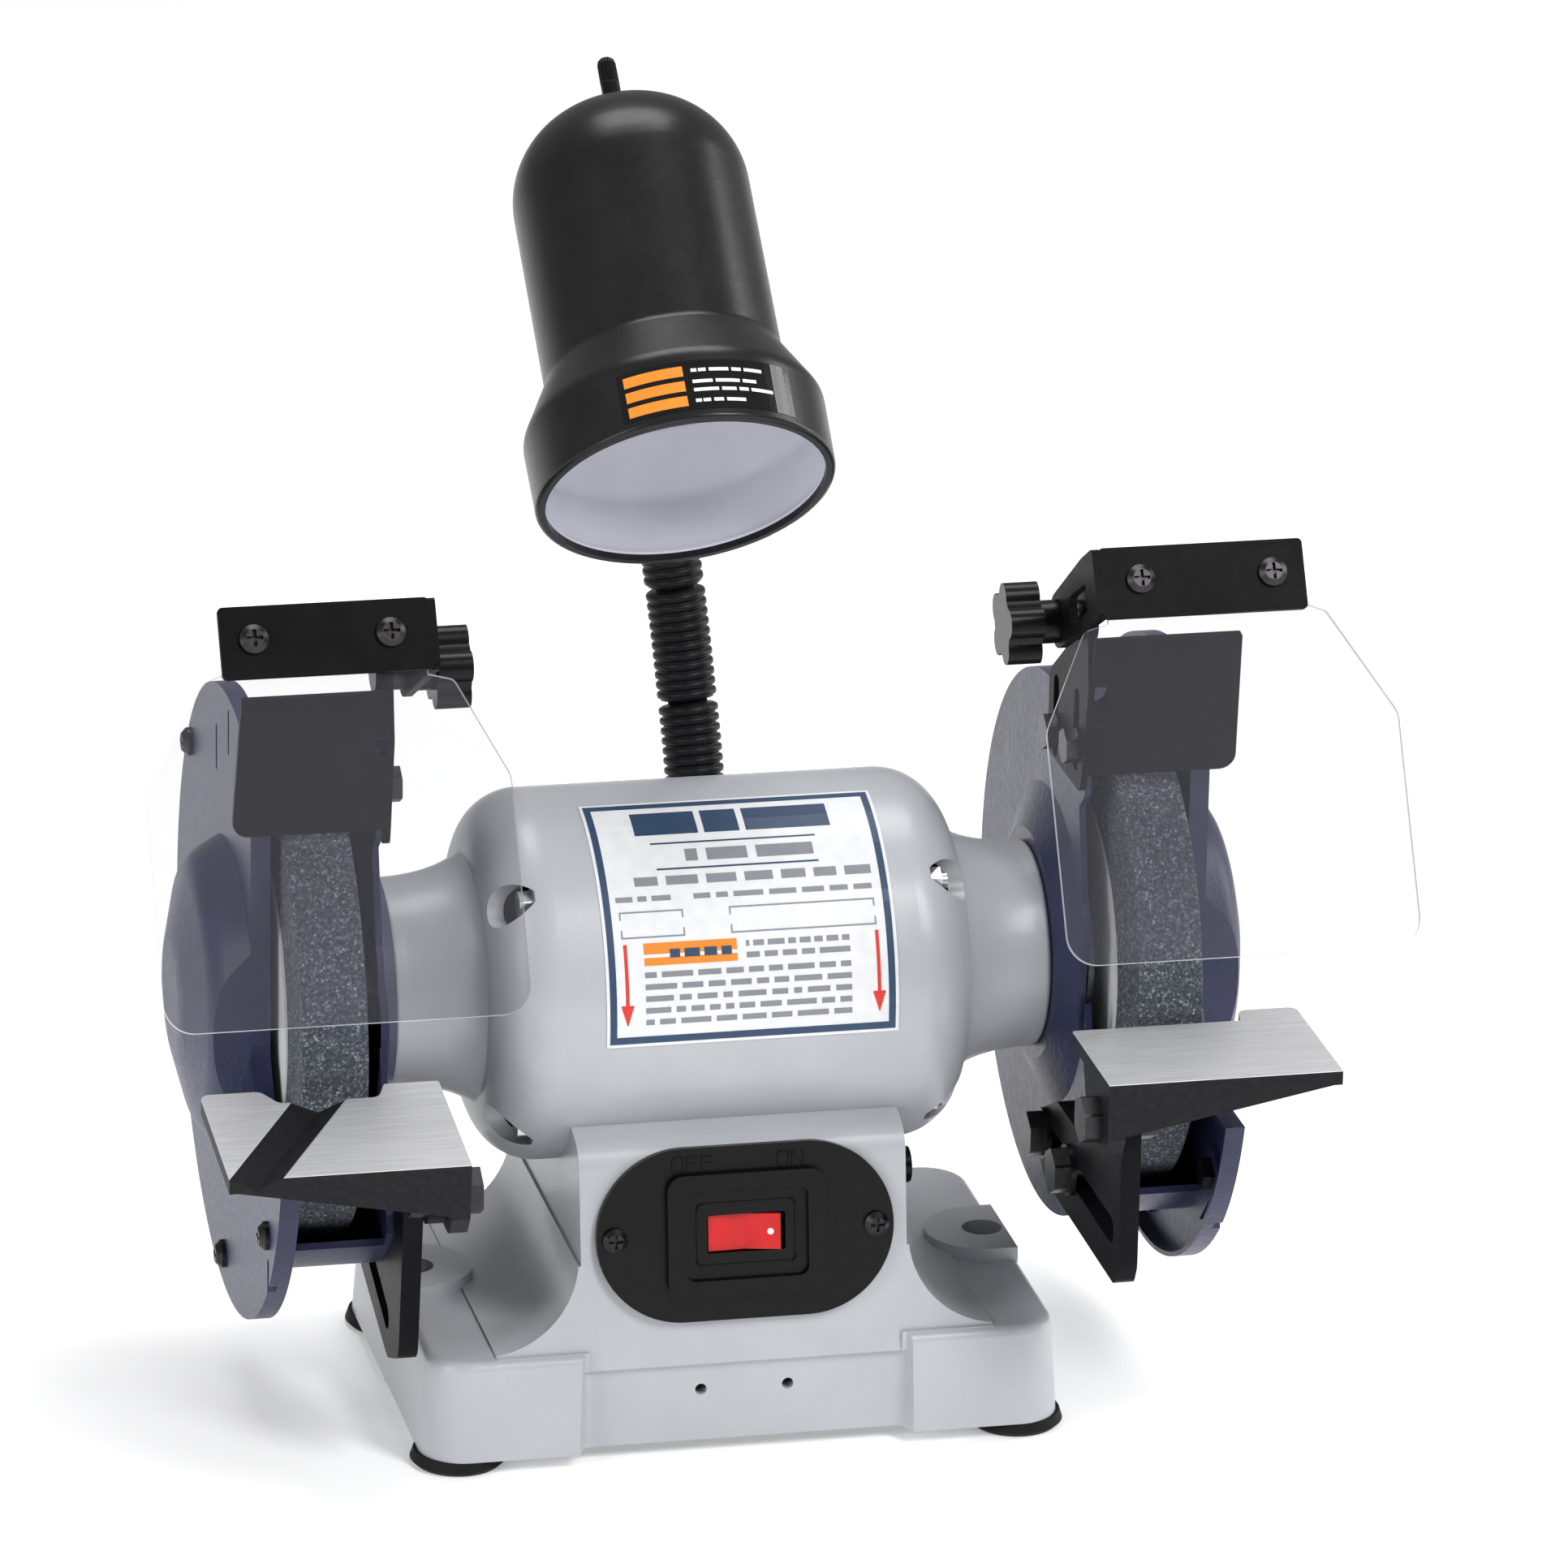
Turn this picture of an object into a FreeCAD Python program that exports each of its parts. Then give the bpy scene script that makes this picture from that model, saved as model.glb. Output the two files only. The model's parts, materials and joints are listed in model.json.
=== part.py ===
import FreeCAD, Part
import os
from math import atan2, cos, degrees, pi, radians, sin, sqrt, tan

# Bench grinder with two wheels, guards, eye shields, tool rests and a gooseneck lamp.
# Frame: X along the spindle (+X is the right wheel), -Y is the operator's side, +Z is up.
# The origin is on the bench plane, midway between the two bench-bolt holes.
# All lengths are millimetres. One-sided pieces are drawn for the right-hand side (+X) and
# mirrored across X = 0 for the left-hand side.

V = FreeCAD.Vector
X_AXIS, Y_AXIS, Z_AXIS = V(1, 0, 0), V(0, 1, 0), V(0, 0, 1)
ORIGIN = V(0, 0, 0)

# --- motor and spindle --------------------------------------------------------------
SPINDLE_Z = 134.0
SPINDLE_AXIS = V(0, 0, SPINDLE_Z)
SHELL_R = 57.0
SHELL_T = 1.6
SHELL_HALF = 49.0
BELL_WALL = 3.2
NECK_X = 102.0                  # outer end of each end bell
NECK_R = 32.0
BEARING_OUT_R = 17.5            # 6202 bearing: 15 x 35 x 11
BEARING_W = 11.0
BEARING_X = 86.0
JOURNAL_R = 7.5
CORE_SHAFT_R = 10.0
SHAFT_END_R = 6.35              # 1/2 in arbor
SHAFT_END_X = 157.0
SHOULDER_X = 111.5
RUN_GAP = 0.05                  # radial running clearance
TIE_R = 50.0                    # pitch radius of the four tie bolts
TIE_BOLT_R = 2.5
TIE_SEAT_X = 61.0
CORE_HALF = 20.0
STATOR_BORE_R = 30.4
ROTOR_R = 30.0
SLOTS = 16
SLOT_R = 3.0
SLOT_PITCH_R = 35.0

# --- wheels -------------------------------------------------------------------------
WHEEL_R = 76.2                  # 6 in wheel
WHEEL_IN, WHEEL_OUT = 118.0, 138.0
BLOTTER_R, BLOTTER_T = 50.0, 0.8
FLANGE_R, FLANGE_T = 25.0, 5.0
NUT_AF, NUT_T = 19.0, 9.0

# --- base ---------------------------------------------------------------------------
BASE_BOTTOM = 4.5
WING_TOP = 36.0
BASE_HALF_LOW, BASE_HALF_TOP = 99.5, 97.5
BASE_FRONT, BASE_BACK = -73.0, 66.0
BASE_CORNER_R = 14.0
PANEL_STEP = 6.0                # the middle front panel stands this far behind the wings
PED_HALF = 50.5
PED_BACK = 44.0
PED_TOP = 100.0
SCOOP_R = 29.0
WALL = 4.5
LEAN = 8.5                      # backward lean of the front panel, degrees
PANEL_Y, PANEL_Z = -62.7, 70.5  # centre of the switch plate on the front panel
BENCH_HOLE_X, BENCH_HOLE_R = 90.0, 6.25
PAD_TOP, PAD_R = 40.0, 18.0
BOSS_BOTTOM = 2.5
FOOT_POINTS = ((-87.0, -59.0), (87.0, -59.0), (-87.0, 52.0), (87.0, 52.0))
FOOT_R = 14.7
COVER_SCREW_POINTS = ((-58.0, -50.0), (58.0, -50.0), (-58.0, 46.0), (58.0, 46.0))
TRAY_HOLE_X, TRAY_HOLE_Z, TRAY_HOLE_R = 13.5, 21.0, 1.8
GLAND_Y, GLAND_Z, GLAND_R = -10.0, 67.0, 8.0
FERRULE_X, FERRULE_Y = 15.0, 55.0

# --- switch -------------------------------------------------------------------------
PLATE_LONG, PLATE_HIGH, PLATE_T = 92.0, 54.0, 2.5
PLATE_SCREW_X = 40.5
BEZEL_LONG, BEZEL_HIGH, BEZEL_T = 49.0, 38.0, 3.0
ROCKER_LONG, ROCKER_HIGH = 22.0, 11.0
ROCKER_TILT = -7.0

# --- guards -------------------------------------------------------------------------
GUARD_IN = 108.0                # motor-side face of the inner guard's plate
GUARD_T = 2.0
GUARD_R = 85.0
NECK_FACE = 102.0
BOSS_TOP_R, BOSS_FOOT_R = 36.0, 50.0
COVER_IN = 146.0                # inner face of the outer cover
COVER_T = 1.5
COVER_R = 97.0
COVER_DROP = 3.0                # the cover's outline is centred this far below the spindle
COVER_LIP = 4.5
COVER_FRONT = -40.0
COVER_LOBE_TOP = 106.0
DOME_R, DOME_H = 48.0, 18.0
COVER_SCREWS = ((-70.0, 82.0), (8.0, 44.9), (69.7, 190.2))
COVER_SLOTS = ((-71.0, 68.0, 5.5), (0.0, 217.0, 6.0), (22.0, 205.0, 6.0))

# --- spark deflector, eye shield, tool rest -------------------------------------------
FLANGE_IN = 106.0               # motor-side face of the deflector's side flange
DEFLECTOR_T = 2.0
DEFLECTOR_OUT = 154.0
DEFLECTOR_BOLTS = ((-12.0, 207.0), (-37.0, 211.0))
LEFT_DROP = 4.0                 # the left deflector is set this much lower in its slots
HINGE_Y, HINGE_Z = -37.0, 251.0
SHIELD_ARM_BACK, SHIELD_ARM_DOWN = 51.0, 11.5  # clamp hole, from the bar's top front edge
LENS_SCREWS = ((113.0, -10.0), (153.5, -10.0))
SHIELD_TILT = 30.0
ARM_IN, ARM_T = 102.0, 6.0
ARM_BOLTS_RIGHT = ((-30.0, 82.5), (-61.0, 82.5))
ARM_BOLTS_LEFT = ((13.0, 66.8), (-9.0, 59.76))
REST_IN, REST_OUT = 96.5, 168.5
REST_FRONT, REST_BACK = -125.0, -79.0
REST_TOP_RIGHT, REST_TOP_T = 134.8, 4.5
REST_DEEP, REST_THIN = 18.0, 4.0
PIVOT_RIGHT = (-111.5, 119.0)
PIVOT_LEFT = (-111.8, 109.3)
LEFT_REST_TILT = 6.5
PIVOT_R = 4.0

# --- lamp ---------------------------------------------------------------------------
MOUTH = V(-10.0, -10.0, 289.0)
LAMP_TILT = 46.6                # the lamp leans back from the vertical, degrees
SHADE_LEN = 132.5
NECK_PIPE_R = 9.4
NECK_ENTRY_H = 95.0             # where the gooseneck meets the shade, measured from the mouth
NECK_ENTRY_R = 36.3
SHADE_R = 36.3
SHADE_T = 1.4
LAMP_LEAN = 1.3                 # the lamp also leans to the left at the top, degrees
LAMP_TURN = FreeCAD.Rotation(V(1, 0, 0), -LAMP_TILT) * FreeCAD.Rotation(V(0, 1, 0), -LAMP_LEAN)
BALL_R = 5.0
NECK_GAP = 2.5
NECK_JOINT_HEIGHTS = (160.0, 196.0, 232.0, 268.0)


# --- helpers --------------------------------------------------------------------------
def on_yz(x):
    return lambda p: V(x, p.x, p.y)


def on_xz(y):
    return lambda p: V(p.x, y, p.y)


def on_xy(z):
    return lambda p: V(p.x, p.y, z)


def outline(points, place):
    """Closed wire through (a, b, corner radius) points, mapped into space by place."""
    count = len(points)
    corners = []
    for i in range(count):
        a, b, radius = points[i]
        here = V(a, b, 0)
        before = V(points[i - 1][0], points[i - 1][1], 0) - here
        after = V(points[(i + 1) % count][0], points[(i + 1) % count][1], 0) - here
        before.normalize()
        after.normalize()
        if radius == 0:
            corners.append((here, here, here, 0))
            continue
        half = before.getAngle(after) / 2
        start = here + before * (radius / tan(half))
        end = here + after * (radius / tan(half))
        middle_way = before + after
        middle_way.normalize()
        middle = here + middle_way * (radius / sin(half) - radius)
        corners.append((start, middle, end, radius))
    edges = []
    for i in range(count):
        start, middle, end, radius = corners[i]
        if radius > 0:
            edges.append(Part.Arc(place(start), place(middle), place(end)).toShape())
        following = corners[(i + 1) % count][0]
        if (following - end).Length > 1e-6:
            edges.append(Part.makeLine(place(end), place(following)))
    return Part.Wire(edges)


def plate(points, place, direction):
    return Part.Face(outline(points, place)).extrude(direction)


def plate_yz(points, x0, x1):
    return plate(points, on_yz(x0), V(x1 - x0, 0, 0))


def plate_xy(points, z0, z1):
    return plate(points, on_xy(z0), V(0, 0, z1 - z0))


def rectangle(a0, a1, b0, b1, radius=0):
    return ((a0, b0, radius), (a1, b0, radius), (a1, b1, radius), (a0, b1, radius))


def box(x0, x1, y0, y1, z0, z1):
    return Part.makeBox(x1 - x0, y1 - y0, z1 - z0, V(x0, y0, z0))


def cyl_x(radius, x0, x1, y, z):
    return Part.makeCylinder(radius, x1 - x0, V(x0, y, z), X_AXIS)


def cyl_y(radius, y0, y1, x, z):
    return Part.makeCylinder(radius, y1 - y0, V(x, y0, z), Y_AXIS)


def cyl_z(radius, z0, z1, x, y):
    return Part.makeCylinder(radius, z1 - z0, V(x, y, z0), Z_AXIS)


def cornered(points):
    """Give every point a corner radius, zero where none is stated."""
    return [tuple(q) + (0,) if len(q) == 2 else tuple(q) for q in points]


def spin_x(points):
    """Solid of revolution about the spindle from (x, radius) points."""
    place = lambda p: V(p.x, 0, SPINDLE_Z + p.y)
    face = Part.Face(outline(cornered(points), place))
    return face.revolve(SPINDLE_AXIS, X_AXIS, 360)


def spin_z(points):
    """Solid of revolution about the Z axis from (radius, height[, corner]) points."""
    face = Part.Face(outline(cornered(points), on_xz(0)))
    return face.revolve(ORIGIN, Z_AXIS, 360)


def hex_x(across_flats, x0, x1, y, z):
    corner_r = across_flats / 2 / cos(pi / 6)
    points = []
    for k in range(6):
        angle = pi / 3 * k + pi / 6
        points.append((y + corner_r * cos(angle), z + corner_r * sin(angle), 0))
    body = plate_yz(points, x0, x1)
    crown = cyl_x(corner_r * 0.97, x0 - 1, x1 + 1, y, z)
    return body.common(crown)


def hex_z(across_flats, z0, z1, x, y):
    corner_r = across_flats / 2 / cos(pi / 6)
    points = []
    for k in range(6):
        angle = pi / 3 * k
        points.append((x + corner_r * cos(angle), y + corner_r * sin(angle), 0))
    return plate_xy(points, z0, z1)


def slot_x(y0, z0, y1, z1, radius, x0, x1):
    """Round-ended slot cutter through X between two centres."""
    along = V(0, y1 - y0, z1 - z0)
    length = along.Length
    angle = degrees(atan2(z1 - z0, y1 - y0))
    middle = box(x0, x1, 0, length, -radius, radius)
    middle.rotate(ORIGIN, X_AXIS, angle)
    middle.translate(V(0, y0, z0))
    ends = [cyl_x(radius, x0, x1, y0, z0), cyl_x(radius, x0, x1, y1, z1)]
    return middle.fuse(ends)


def mirrored(shape):
    return shape.mirror(ORIGIN, X_AXIS)


def fuse(shapes):
    return shapes[0].multiFuse(shapes[1:]).removeSplitter()


def group(shapes):
    return Part.Compound(shapes)


def phillips(depth, arm, width):
    """Cross-shaped recess cutter pointing down from z = 0."""
    cross = [box(-arm, arm, -width / 2, width / 2, -depth, 1)]
    cross.append(box(-width / 2, width / 2, -arm, arm, -depth, 1))
    return cross[0].fuse(cross[1])


def pan_screw(head_r, head_t, shank_r, length):
    """Pan-head cross-recess screw: seat at z = 0, head above, shank below."""
    head = spin_z(((0, 0), (head_r, 0), (head_r, head_t * 0.45), (head_r * 0.62, head_t),
                   (0, head_t)))
    shank = cyl_z(shank_r, -length, 0.2, 0, 0)
    recess = phillips(head_t * 0.55, head_r * 0.58, head_r * 0.24)
    recess.translate(V(0, 0, head_t))
    return head.fuse(shank).cut(recess).removeSplitter()


def pointing(shape, direction, position):
    """Turn a piece built along +Z to point along direction, then move it."""
    turned = shape.copy()
    turned.Placement = FreeCAD.Placement(position, FreeCAD.Rotation(Z_AXIS, direction))
    return turned


def on_panel(shape):
    """Move a piece built on the XZ plane (front towards -Y) onto the leaning front panel."""
    moved = shape.copy()
    moved.rotate(ORIGIN, X_AXIS, -LEAN)
    moved.translate(V(0, PANEL_Y, PANEL_Z))
    return moved


def save(node, shape):
    shape.exportStep("parts/" + node + ".step")


# --- base -----------------------------------------------------------------------------
def panel_front(z):
    return PANEL_Y + (z - PANEL_Z) * tan(radians(LEAN))


def make_base_casting():
    low = outline(rectangle(-BASE_HALF_LOW, BASE_HALF_LOW, BASE_FRONT, BASE_BACK,
                            BASE_CORNER_R), on_xy(BASE_BOTTOM))
    high = outline(rectangle(-BASE_HALF_TOP, BASE_HALF_TOP, BASE_FRONT + 1.5, BASE_BACK - 1.5,
                             BASE_CORNER_R), on_xy(WING_TOP))
    wings = Part.makeLoft([low, high], True, True)
    rim = []
    for edge in wings.Edges:
        if edge.BoundBox.ZMin > WING_TOP - 0.01:
            rim.append(edge)
    wings = wings.makeFillet(3.0, rim)
    panel_y = BASE_FRONT + PANEL_STEP
    recess = plate_xy(((-54.0, BASE_FRONT - 4, 0), (-49.0, panel_y, 4.0),
                       (49.0, panel_y, 4.0), (54.0, BASE_FRONT - 4, 0)), -1, WING_TOP + 1)
    wings = wings.cut(recess)
    pedestal = plate_yz(((panel_front(30), 30, 0), (panel_front(97), 97, 9.0),
                         (-38.0, PED_TOP + 4, 0), (40.0, PED_TOP, 0), (PED_BACK, 92.0, 6.0),
                         (PED_BACK, 30, 0)), -PED_HALF, PED_HALF)
    scoop = make_scoop()
    scoops = [scoop, mirrored(scoop)]
    pads = []
    for side in (-1, 1):
        pad = cyl_z(PAD_R, WING_TOP - 1, PAD_TOP, BENCH_HOLE_X, 0)
        pad = pad.fuse(box(BENCH_HOLE_X, BASE_HALF_TOP + 3, -PAD_R, PAD_R, WING_TOP - 1, PAD_TOP))
        pad = pad.common(box(0, BASE_HALF_TOP - 0.3, -50, 50, 0, 60))
        pads.append(pad if side > 0 else mirrored(pad))
    gland_boss = cyl_x(9.5, PED_HALF - 1, PED_HALF + 2, GLAND_Y, GLAND_Z)
    rings = [cyl_z(9.0, BOSS_BOTTOM, BASE_BOTTOM + 1, side * BENCH_HOLE_X, 0) for side in (-1, 1)]
    body = fuse([wings, pedestal] + scoops + pads + rings + [gland_boss])
    lean_cut = box(-120, 120, -60, 0, 0, 90)
    lean_cut.rotate(ORIGIN, X_AXIS, -LEAN)
    lean_cut.translate(V(0, panel_front(WING_TOP), WING_TOP))
    body = body.cut(lean_cut)
    body = body.cut(cyl_x(SHELL_R, -80, 80, 0, SPINDLE_Z))
    return body.cut(make_base_cavity())


def make_scoop():
    """Hollow-curved web from the pedestal's side down to the wing."""
    centre_x, centre_z = PED_HALF + SCOOP_R + 0.6, WING_TOP + SCOOP_R + 0.6
    reach = sqrt(SCOOP_R ** 2 - 0.6 ** 2)
    upper, lower = V(PED_HALF, 0, centre_z - 3.0), V(centre_x - 3.0, 0, WING_TOP)
    upper.x = centre_x - sqrt(SCOOP_R ** 2 - 9.0)
    lower.z = centre_z - sqrt(SCOOP_R ** 2 - 9.0)
    middle = V(centre_x - SCOOP_R * sin(pi / 4), 0, centre_z - SCOOP_R * sin(pi / 4))
    corners = [lower, V(lower.x, 0, 30), V(PED_HALF - 2, 0, 30), V(PED_HALF - 2, 0, upper.z),
               upper]
    edges = [Part.makeLine(corners[i], corners[i + 1]) for i in range(4)]
    edges.append(Part.Arc(upper, middle, lower).toShape())
    face = Part.Face(Part.Wire(edges))
    face.translate(V(0, panel_front(40) - 2, 0))
    return face.extrude(V(0, PED_BACK - panel_front(40) + 2, 0))


def make_base_cavity():
    hollow = plate_xy(rectangle(-95.0, 95.0, -62.5, 61.0, 9.0), -1, WING_TOP - 5)
    middle = plate_yz(((panel_front(20) + WALL + 1, 20, 0), (panel_front(84) + WALL, 84, 0),
                       (-39.0, 84, 0), (-30.0, 72, 0), (PED_BACK - WALL, 72, 0),
                       (PED_BACK - WALL, 20, 0)), -PED_HALF + WALL, PED_HALF - WALL)
    cavity = hollow.fuse(middle)
    posts = []
    for side in (-1, 1):
        posts.append(cyl_z(13.0, BOSS_BOTTOM, WING_TOP, side * BENCH_HOLE_X, 0))
    for x, y in FOOT_POINTS:
        posts.append(cyl_z(9.5, BASE_BOTTOM, WING_TOP, x, y))
    for x, y in COVER_SCREW_POINTS:
        posts.append(cyl_z(5.5, BASE_BOTTOM, WING_TOP, x, y))
    cavity = cavity.cut(group(posts))
    holes = []
    for side in (-1, 1):
        holes.append(cyl_z(BENCH_HOLE_R, -1, PAD_TOP + 1, side * BENCH_HOLE_X, 0))
        holes.append(cyl_y(TRAY_HOLE_R, BASE_FRONT, -50, side * TRAY_HOLE_X, TRAY_HOLE_Z))
        screw_hole = cyl_y(1.5, -4, 14, side * PLATE_SCREW_X, 0)
        holes.append(on_panel(screw_hole))
    for x, y in FOOT_POINTS:
        holes.append(cyl_z(2.0, BASE_BOTTOM - 1, 22, x, y))
    for x, y in COVER_SCREW_POINTS:
        holes.append(cyl_z(1.6, BASE_BOTTOM - 1, 20, x, y))
    holes.append(on_panel(plate(rectangle(-18.0, 18.0, -13.0, 13.0, 2.0), on_xz(-8),
                                V(0, 24, 0))))
    holes.append(cyl_x(5.6, PED_HALF - 8, PED_HALF + 3, GLAND_Y, GLAND_Z))
    holes.append(cyl_x(8.6, PED_HALF - 10, PED_HALF - WALL, GLAND_Y, GLAND_Z))
    holes.append(cyl_z(4.6, WING_TOP - 8, WING_TOP + 1, FERRULE_X, FERRULE_Y))
    holes.append(cyl_z(6.0, 60, 90, -20, 12))
    return cavity.fuse(holes)


def make_bottom_cover():
    sheet = plate_xy(rectangle(-66.0, 66.0, -58.0, 55.0, 5.0), BASE_BOTTOM - 1.2, BASE_BOTTOM)
    holes = []
    for x, y in COVER_SCREW_POINTS:
        holes.append(cyl_z(1.8, 0, 10, x, y))
    for x in (-30, -18, -6, 6, 18, 30):
        holes.append(box(x - 1.5, x + 1.5, -22, 18, 0, 10))
    return sheet.cut(group(holes))


def make_cover_screws():
    screws = []
    for x, y in COVER_SCREW_POINTS:
        screw = pan_screw(3.2, 2.0, 1.55, 11.0)
        screws.append(pointing(screw, V(0, 0, -1), V(x, y, BASE_BOTTOM - 1.2)))
    return group(screws)


def make_rubber_feet():
    feet = []
    for x, y in FOOT_POINTS:
        foot = spin_z(((2.3, 3.0), (6.0, 3.0), (6.0, 0), (FOOT_R - 1.5, 0), (FOOT_R, 1.5),
                       (FOOT_R - 1.0, BASE_BOTTOM), (2.3, BASE_BOTTOM)))
        foot.translate(V(x, y, 0))
        feet.append(foot)
    return group(feet)


def make_foot_screws():
    screws = []
    for x, y in FOOT_POINTS:
        screw = pan_screw(4.2, 2.4, 1.95, 14.0)
        screws.append(pointing(screw, V(0, 0, -1), V(x, y, 3.0)))
    return group(screws)


# --- motor ----------------------------------------------------------------------------
def make_motor_shell():
    tube = spin_x(((-SHELL_HALF, SHELL_R - SHELL_T), (SHELL_HALF, SHELL_R - SHELL_T),
                   (SHELL_HALF, SHELL_R), (-SHELL_HALF, SHELL_R)))
    return tube.cut(cyl_z(5.0, 70, 90, -20, 12))


def bell_profile_outer():
    """Outline of the bell's outer surface as (x, radius, corner radius) points."""
    return [(SHELL_HALF, SHELL_R, 0), (72.5, SHELL_R, 19.0), (75.5, 31.8, 6.0),
            (NECK_X, NECK_R, 1.5)]


def make_end_bell():
    seat_x0 = BEARING_X - BEARING_W / 2
    seat_x1 = BEARING_X + BEARING_W / 2
    profile = [(SHELL_HALF, SHELL_R - SHELL_T, 0)] + bell_profile_outer()
    profile += [(NECK_X, 14.0, 0), (seat_x1, 14.0, 0), (seat_x1, BEARING_OUT_R, 0),
                (seat_x0, BEARING_OUT_R, 0), (seat_x0 - 4.0, BEARING_OUT_R, 0),
                (seat_x0 - 4.0, 27.0, 0), (70.5, 27.0, 3.0), (69.0, 52.0, 14.0),
                (SHELL_HALF, 52.6, 0), (SHELL_HALF - 6.0, 52.8, 0),
                (SHELL_HALF - 6.0, SHELL_R - SHELL_T, 0)]
    bell = spin_x(profile)
    bosses = []
    cuts = []
    for k in range(4):
        angle = pi / 4 + pi / 2 * k
        y, z = TIE_R * cos(angle), SPINDLE_Z + TIE_R * sin(angle)
        bosses.append(cyl_x(6.0, SHELL_HALF - 6, TIE_SEAT_X, y, z))
        cuts.append(cyl_x(6.4, TIE_SEAT_X, 90, y, z))
        cuts.append(cyl_x(TIE_BOLT_R + 0.2, 30, 90, y, z))
    keep_in = cyl_x(SHELL_R - SHELL_T, 30, SHELL_HALF, 0, SPINDLE_Z)
    keep_in = keep_in.fuse(cyl_x(SHELL_R, SHELL_HALF, 70, 0, SPINDLE_Z))
    bell = fuse([bell, group(bosses).common(keep_in)])
    for k in range(3):
        angle = pi * 2 / 3 * k
        y, z = 22.0 * cos(angle), SPINDLE_Z + 22.0 * sin(angle)
        cuts.append(cyl_x(2.0, NECK_X - 11, NECK_X + 1, y, z))
    return bell.cut(group(cuts))


def make_tie_bolts():
    bolts = []
    for k in range(4):
        angle = pi / 4 + pi / 2 * k
        y, z = TIE_R * cos(angle), SPINDLE_Z + TIE_R * sin(angle)
        shank = cyl_x(TIE_BOLT_R, -TIE_SEAT_X - 1, TIE_SEAT_X + 6, y, z)
        head = hex_x(8.0, -TIE_SEAT_X - 4.5, -TIE_SEAT_X, y, z)
        bolts.append(head.fuse(shank).removeSplitter())
    return group(bolts)


def make_tie_nuts():
    nuts = []
    for k in range(4):
        angle = pi / 4 + pi / 2 * k
        y, z = TIE_R * cos(angle), SPINDLE_Z + TIE_R * sin(angle)
        nut = hex_x(8.0, TIE_SEAT_X, TIE_SEAT_X + 4.0, y, z)
        nuts.append(nut.cut(cyl_x(TIE_BOLT_R, 50, 80, y, z)))
    return group(nuts)


def slot_centres():
    for k in range(SLOTS):
        angle = 2 * pi * (k + 0.5) / SLOTS
        yield SLOT_PITCH_R * cos(angle), SPINDLE_Z + SLOT_PITCH_R * sin(angle)


def make_stator_core():
    core = spin_x(((-CORE_HALF, STATOR_BORE_R), (CORE_HALF, STATOR_BORE_R),
                   (CORE_HALF, SHELL_R - SHELL_T), (-CORE_HALF, SHELL_R - SHELL_T)))
    cuts = []
    for y, z in slot_centres():
        cuts.append(cyl_x(SLOT_R, -30, 30, y, z))
    for k in range(4):
        groove = box(-30, 30, TIE_R - 3.2, 60, -3.2, 3.2)
        groove.rotate(ORIGIN, X_AXIS, 45 + 90 * k)
        groove.translate(SPINDLE_AXIS)
        cuts.append(groove)
    return core.cut(group(cuts))


def make_windings():
    pieces = []
    for side in (-1, 1):
        x0, x1 = (CORE_HALF, 37.0) if side > 0 else (-37.0, -CORE_HALF)
        pieces.append(spin_x(((x0, 32.0, 3.0), (x1, 32.0, 3.0), (x1, 45.0, 3.0),
                              (x0, 45.0, 3.0))))
    for y, z in slot_centres():
        pieces.append(cyl_x(SLOT_R - 0.15, -CORE_HALF - 4, CORE_HALF + 4, y, z))
    return fuse(pieces)


def make_rotor():
    profile = [(-28.0, CORE_SHAFT_R), (28.0, CORE_SHAFT_R), (28.0, 26.0), (CORE_HALF, 26.0),
               (CORE_HALF, ROTOR_R), (-CORE_HALF, ROTOR_R), (-CORE_HALF, 26.0), (-28.0, 26.0)]
    return spin_x(profile)


def make_spindle():
    seat_x = BEARING_X - BEARING_W / 2 - 1.5
    half = ((0, CORE_SHAFT_R), (seat_x, CORE_SHAFT_R), (seat_x, JOURNAL_R),
            (SHOULDER_X, JOURNAL_R), (SHOULDER_X, SHAFT_END_R),
            (SHAFT_END_X - 1.2, SHAFT_END_R), (SHAFT_END_X, SHAFT_END_R - 1.2))
    profile = [(x, r) for x, r in half]
    profile += [(SHAFT_END_X, 0), (-SHAFT_END_X, 0)]
    profile += [(-x, r) for x, r in reversed(half)][:-1]
    return spin_x(profile)


def make_bearing():
    x0, x1 = BEARING_X - BEARING_W / 2, BEARING_X + BEARING_W / 2
    bore = JOURNAL_R + RUN_GAP
    return spin_x(((x0, bore), (x1, bore), (x1, 11.0), (x1 - 0.8, 11.0), (x1 - 0.8, 14.6),
                   (x1, 14.6), (x1, BEARING_OUT_R, 0.6), (x0, BEARING_OUT_R, 0.6), (x0, 14.6),
                   (x0 + 0.8, 14.6), (x0 + 0.8, 11.0), (x0, 11.0)))


def make_capacitor():
    can = cyl_x(15.0, -34.0, 22.0, 8.0, 50.0)
    cap = cyl_x(13.5, 22.0, 26.0, 8.0, 50.0)
    tabs = [box(26.0, 34.0, 3.0, 3.8, 46.0, 52.0), box(26.0, 34.0, 12.0, 12.8, 46.0, 52.0)]
    return fuse([can, cap] + tabs)


# --- wheels ---------------------------------------------------------------------------
def make_wheel():
    bore = SHAFT_END_R + 0.03
    return spin_x(((WHEEL_IN, bore, 0), (WHEEL_OUT, bore, 0), (WHEEL_OUT, WHEEL_R, 0.8),
                   (WHEEL_IN, WHEEL_R, 0.8)))


def make_blotters():
    rings = []
    for x0 in (WHEEL_IN - BLOTTER_T, WHEEL_OUT):
        rings.append(spin_x(((x0, 7.0), (x0 + BLOTTER_T, 7.0), (x0 + BLOTTER_T, BLOTTER_R),
                             (x0, BLOTTER_R))))
    return rings


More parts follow.
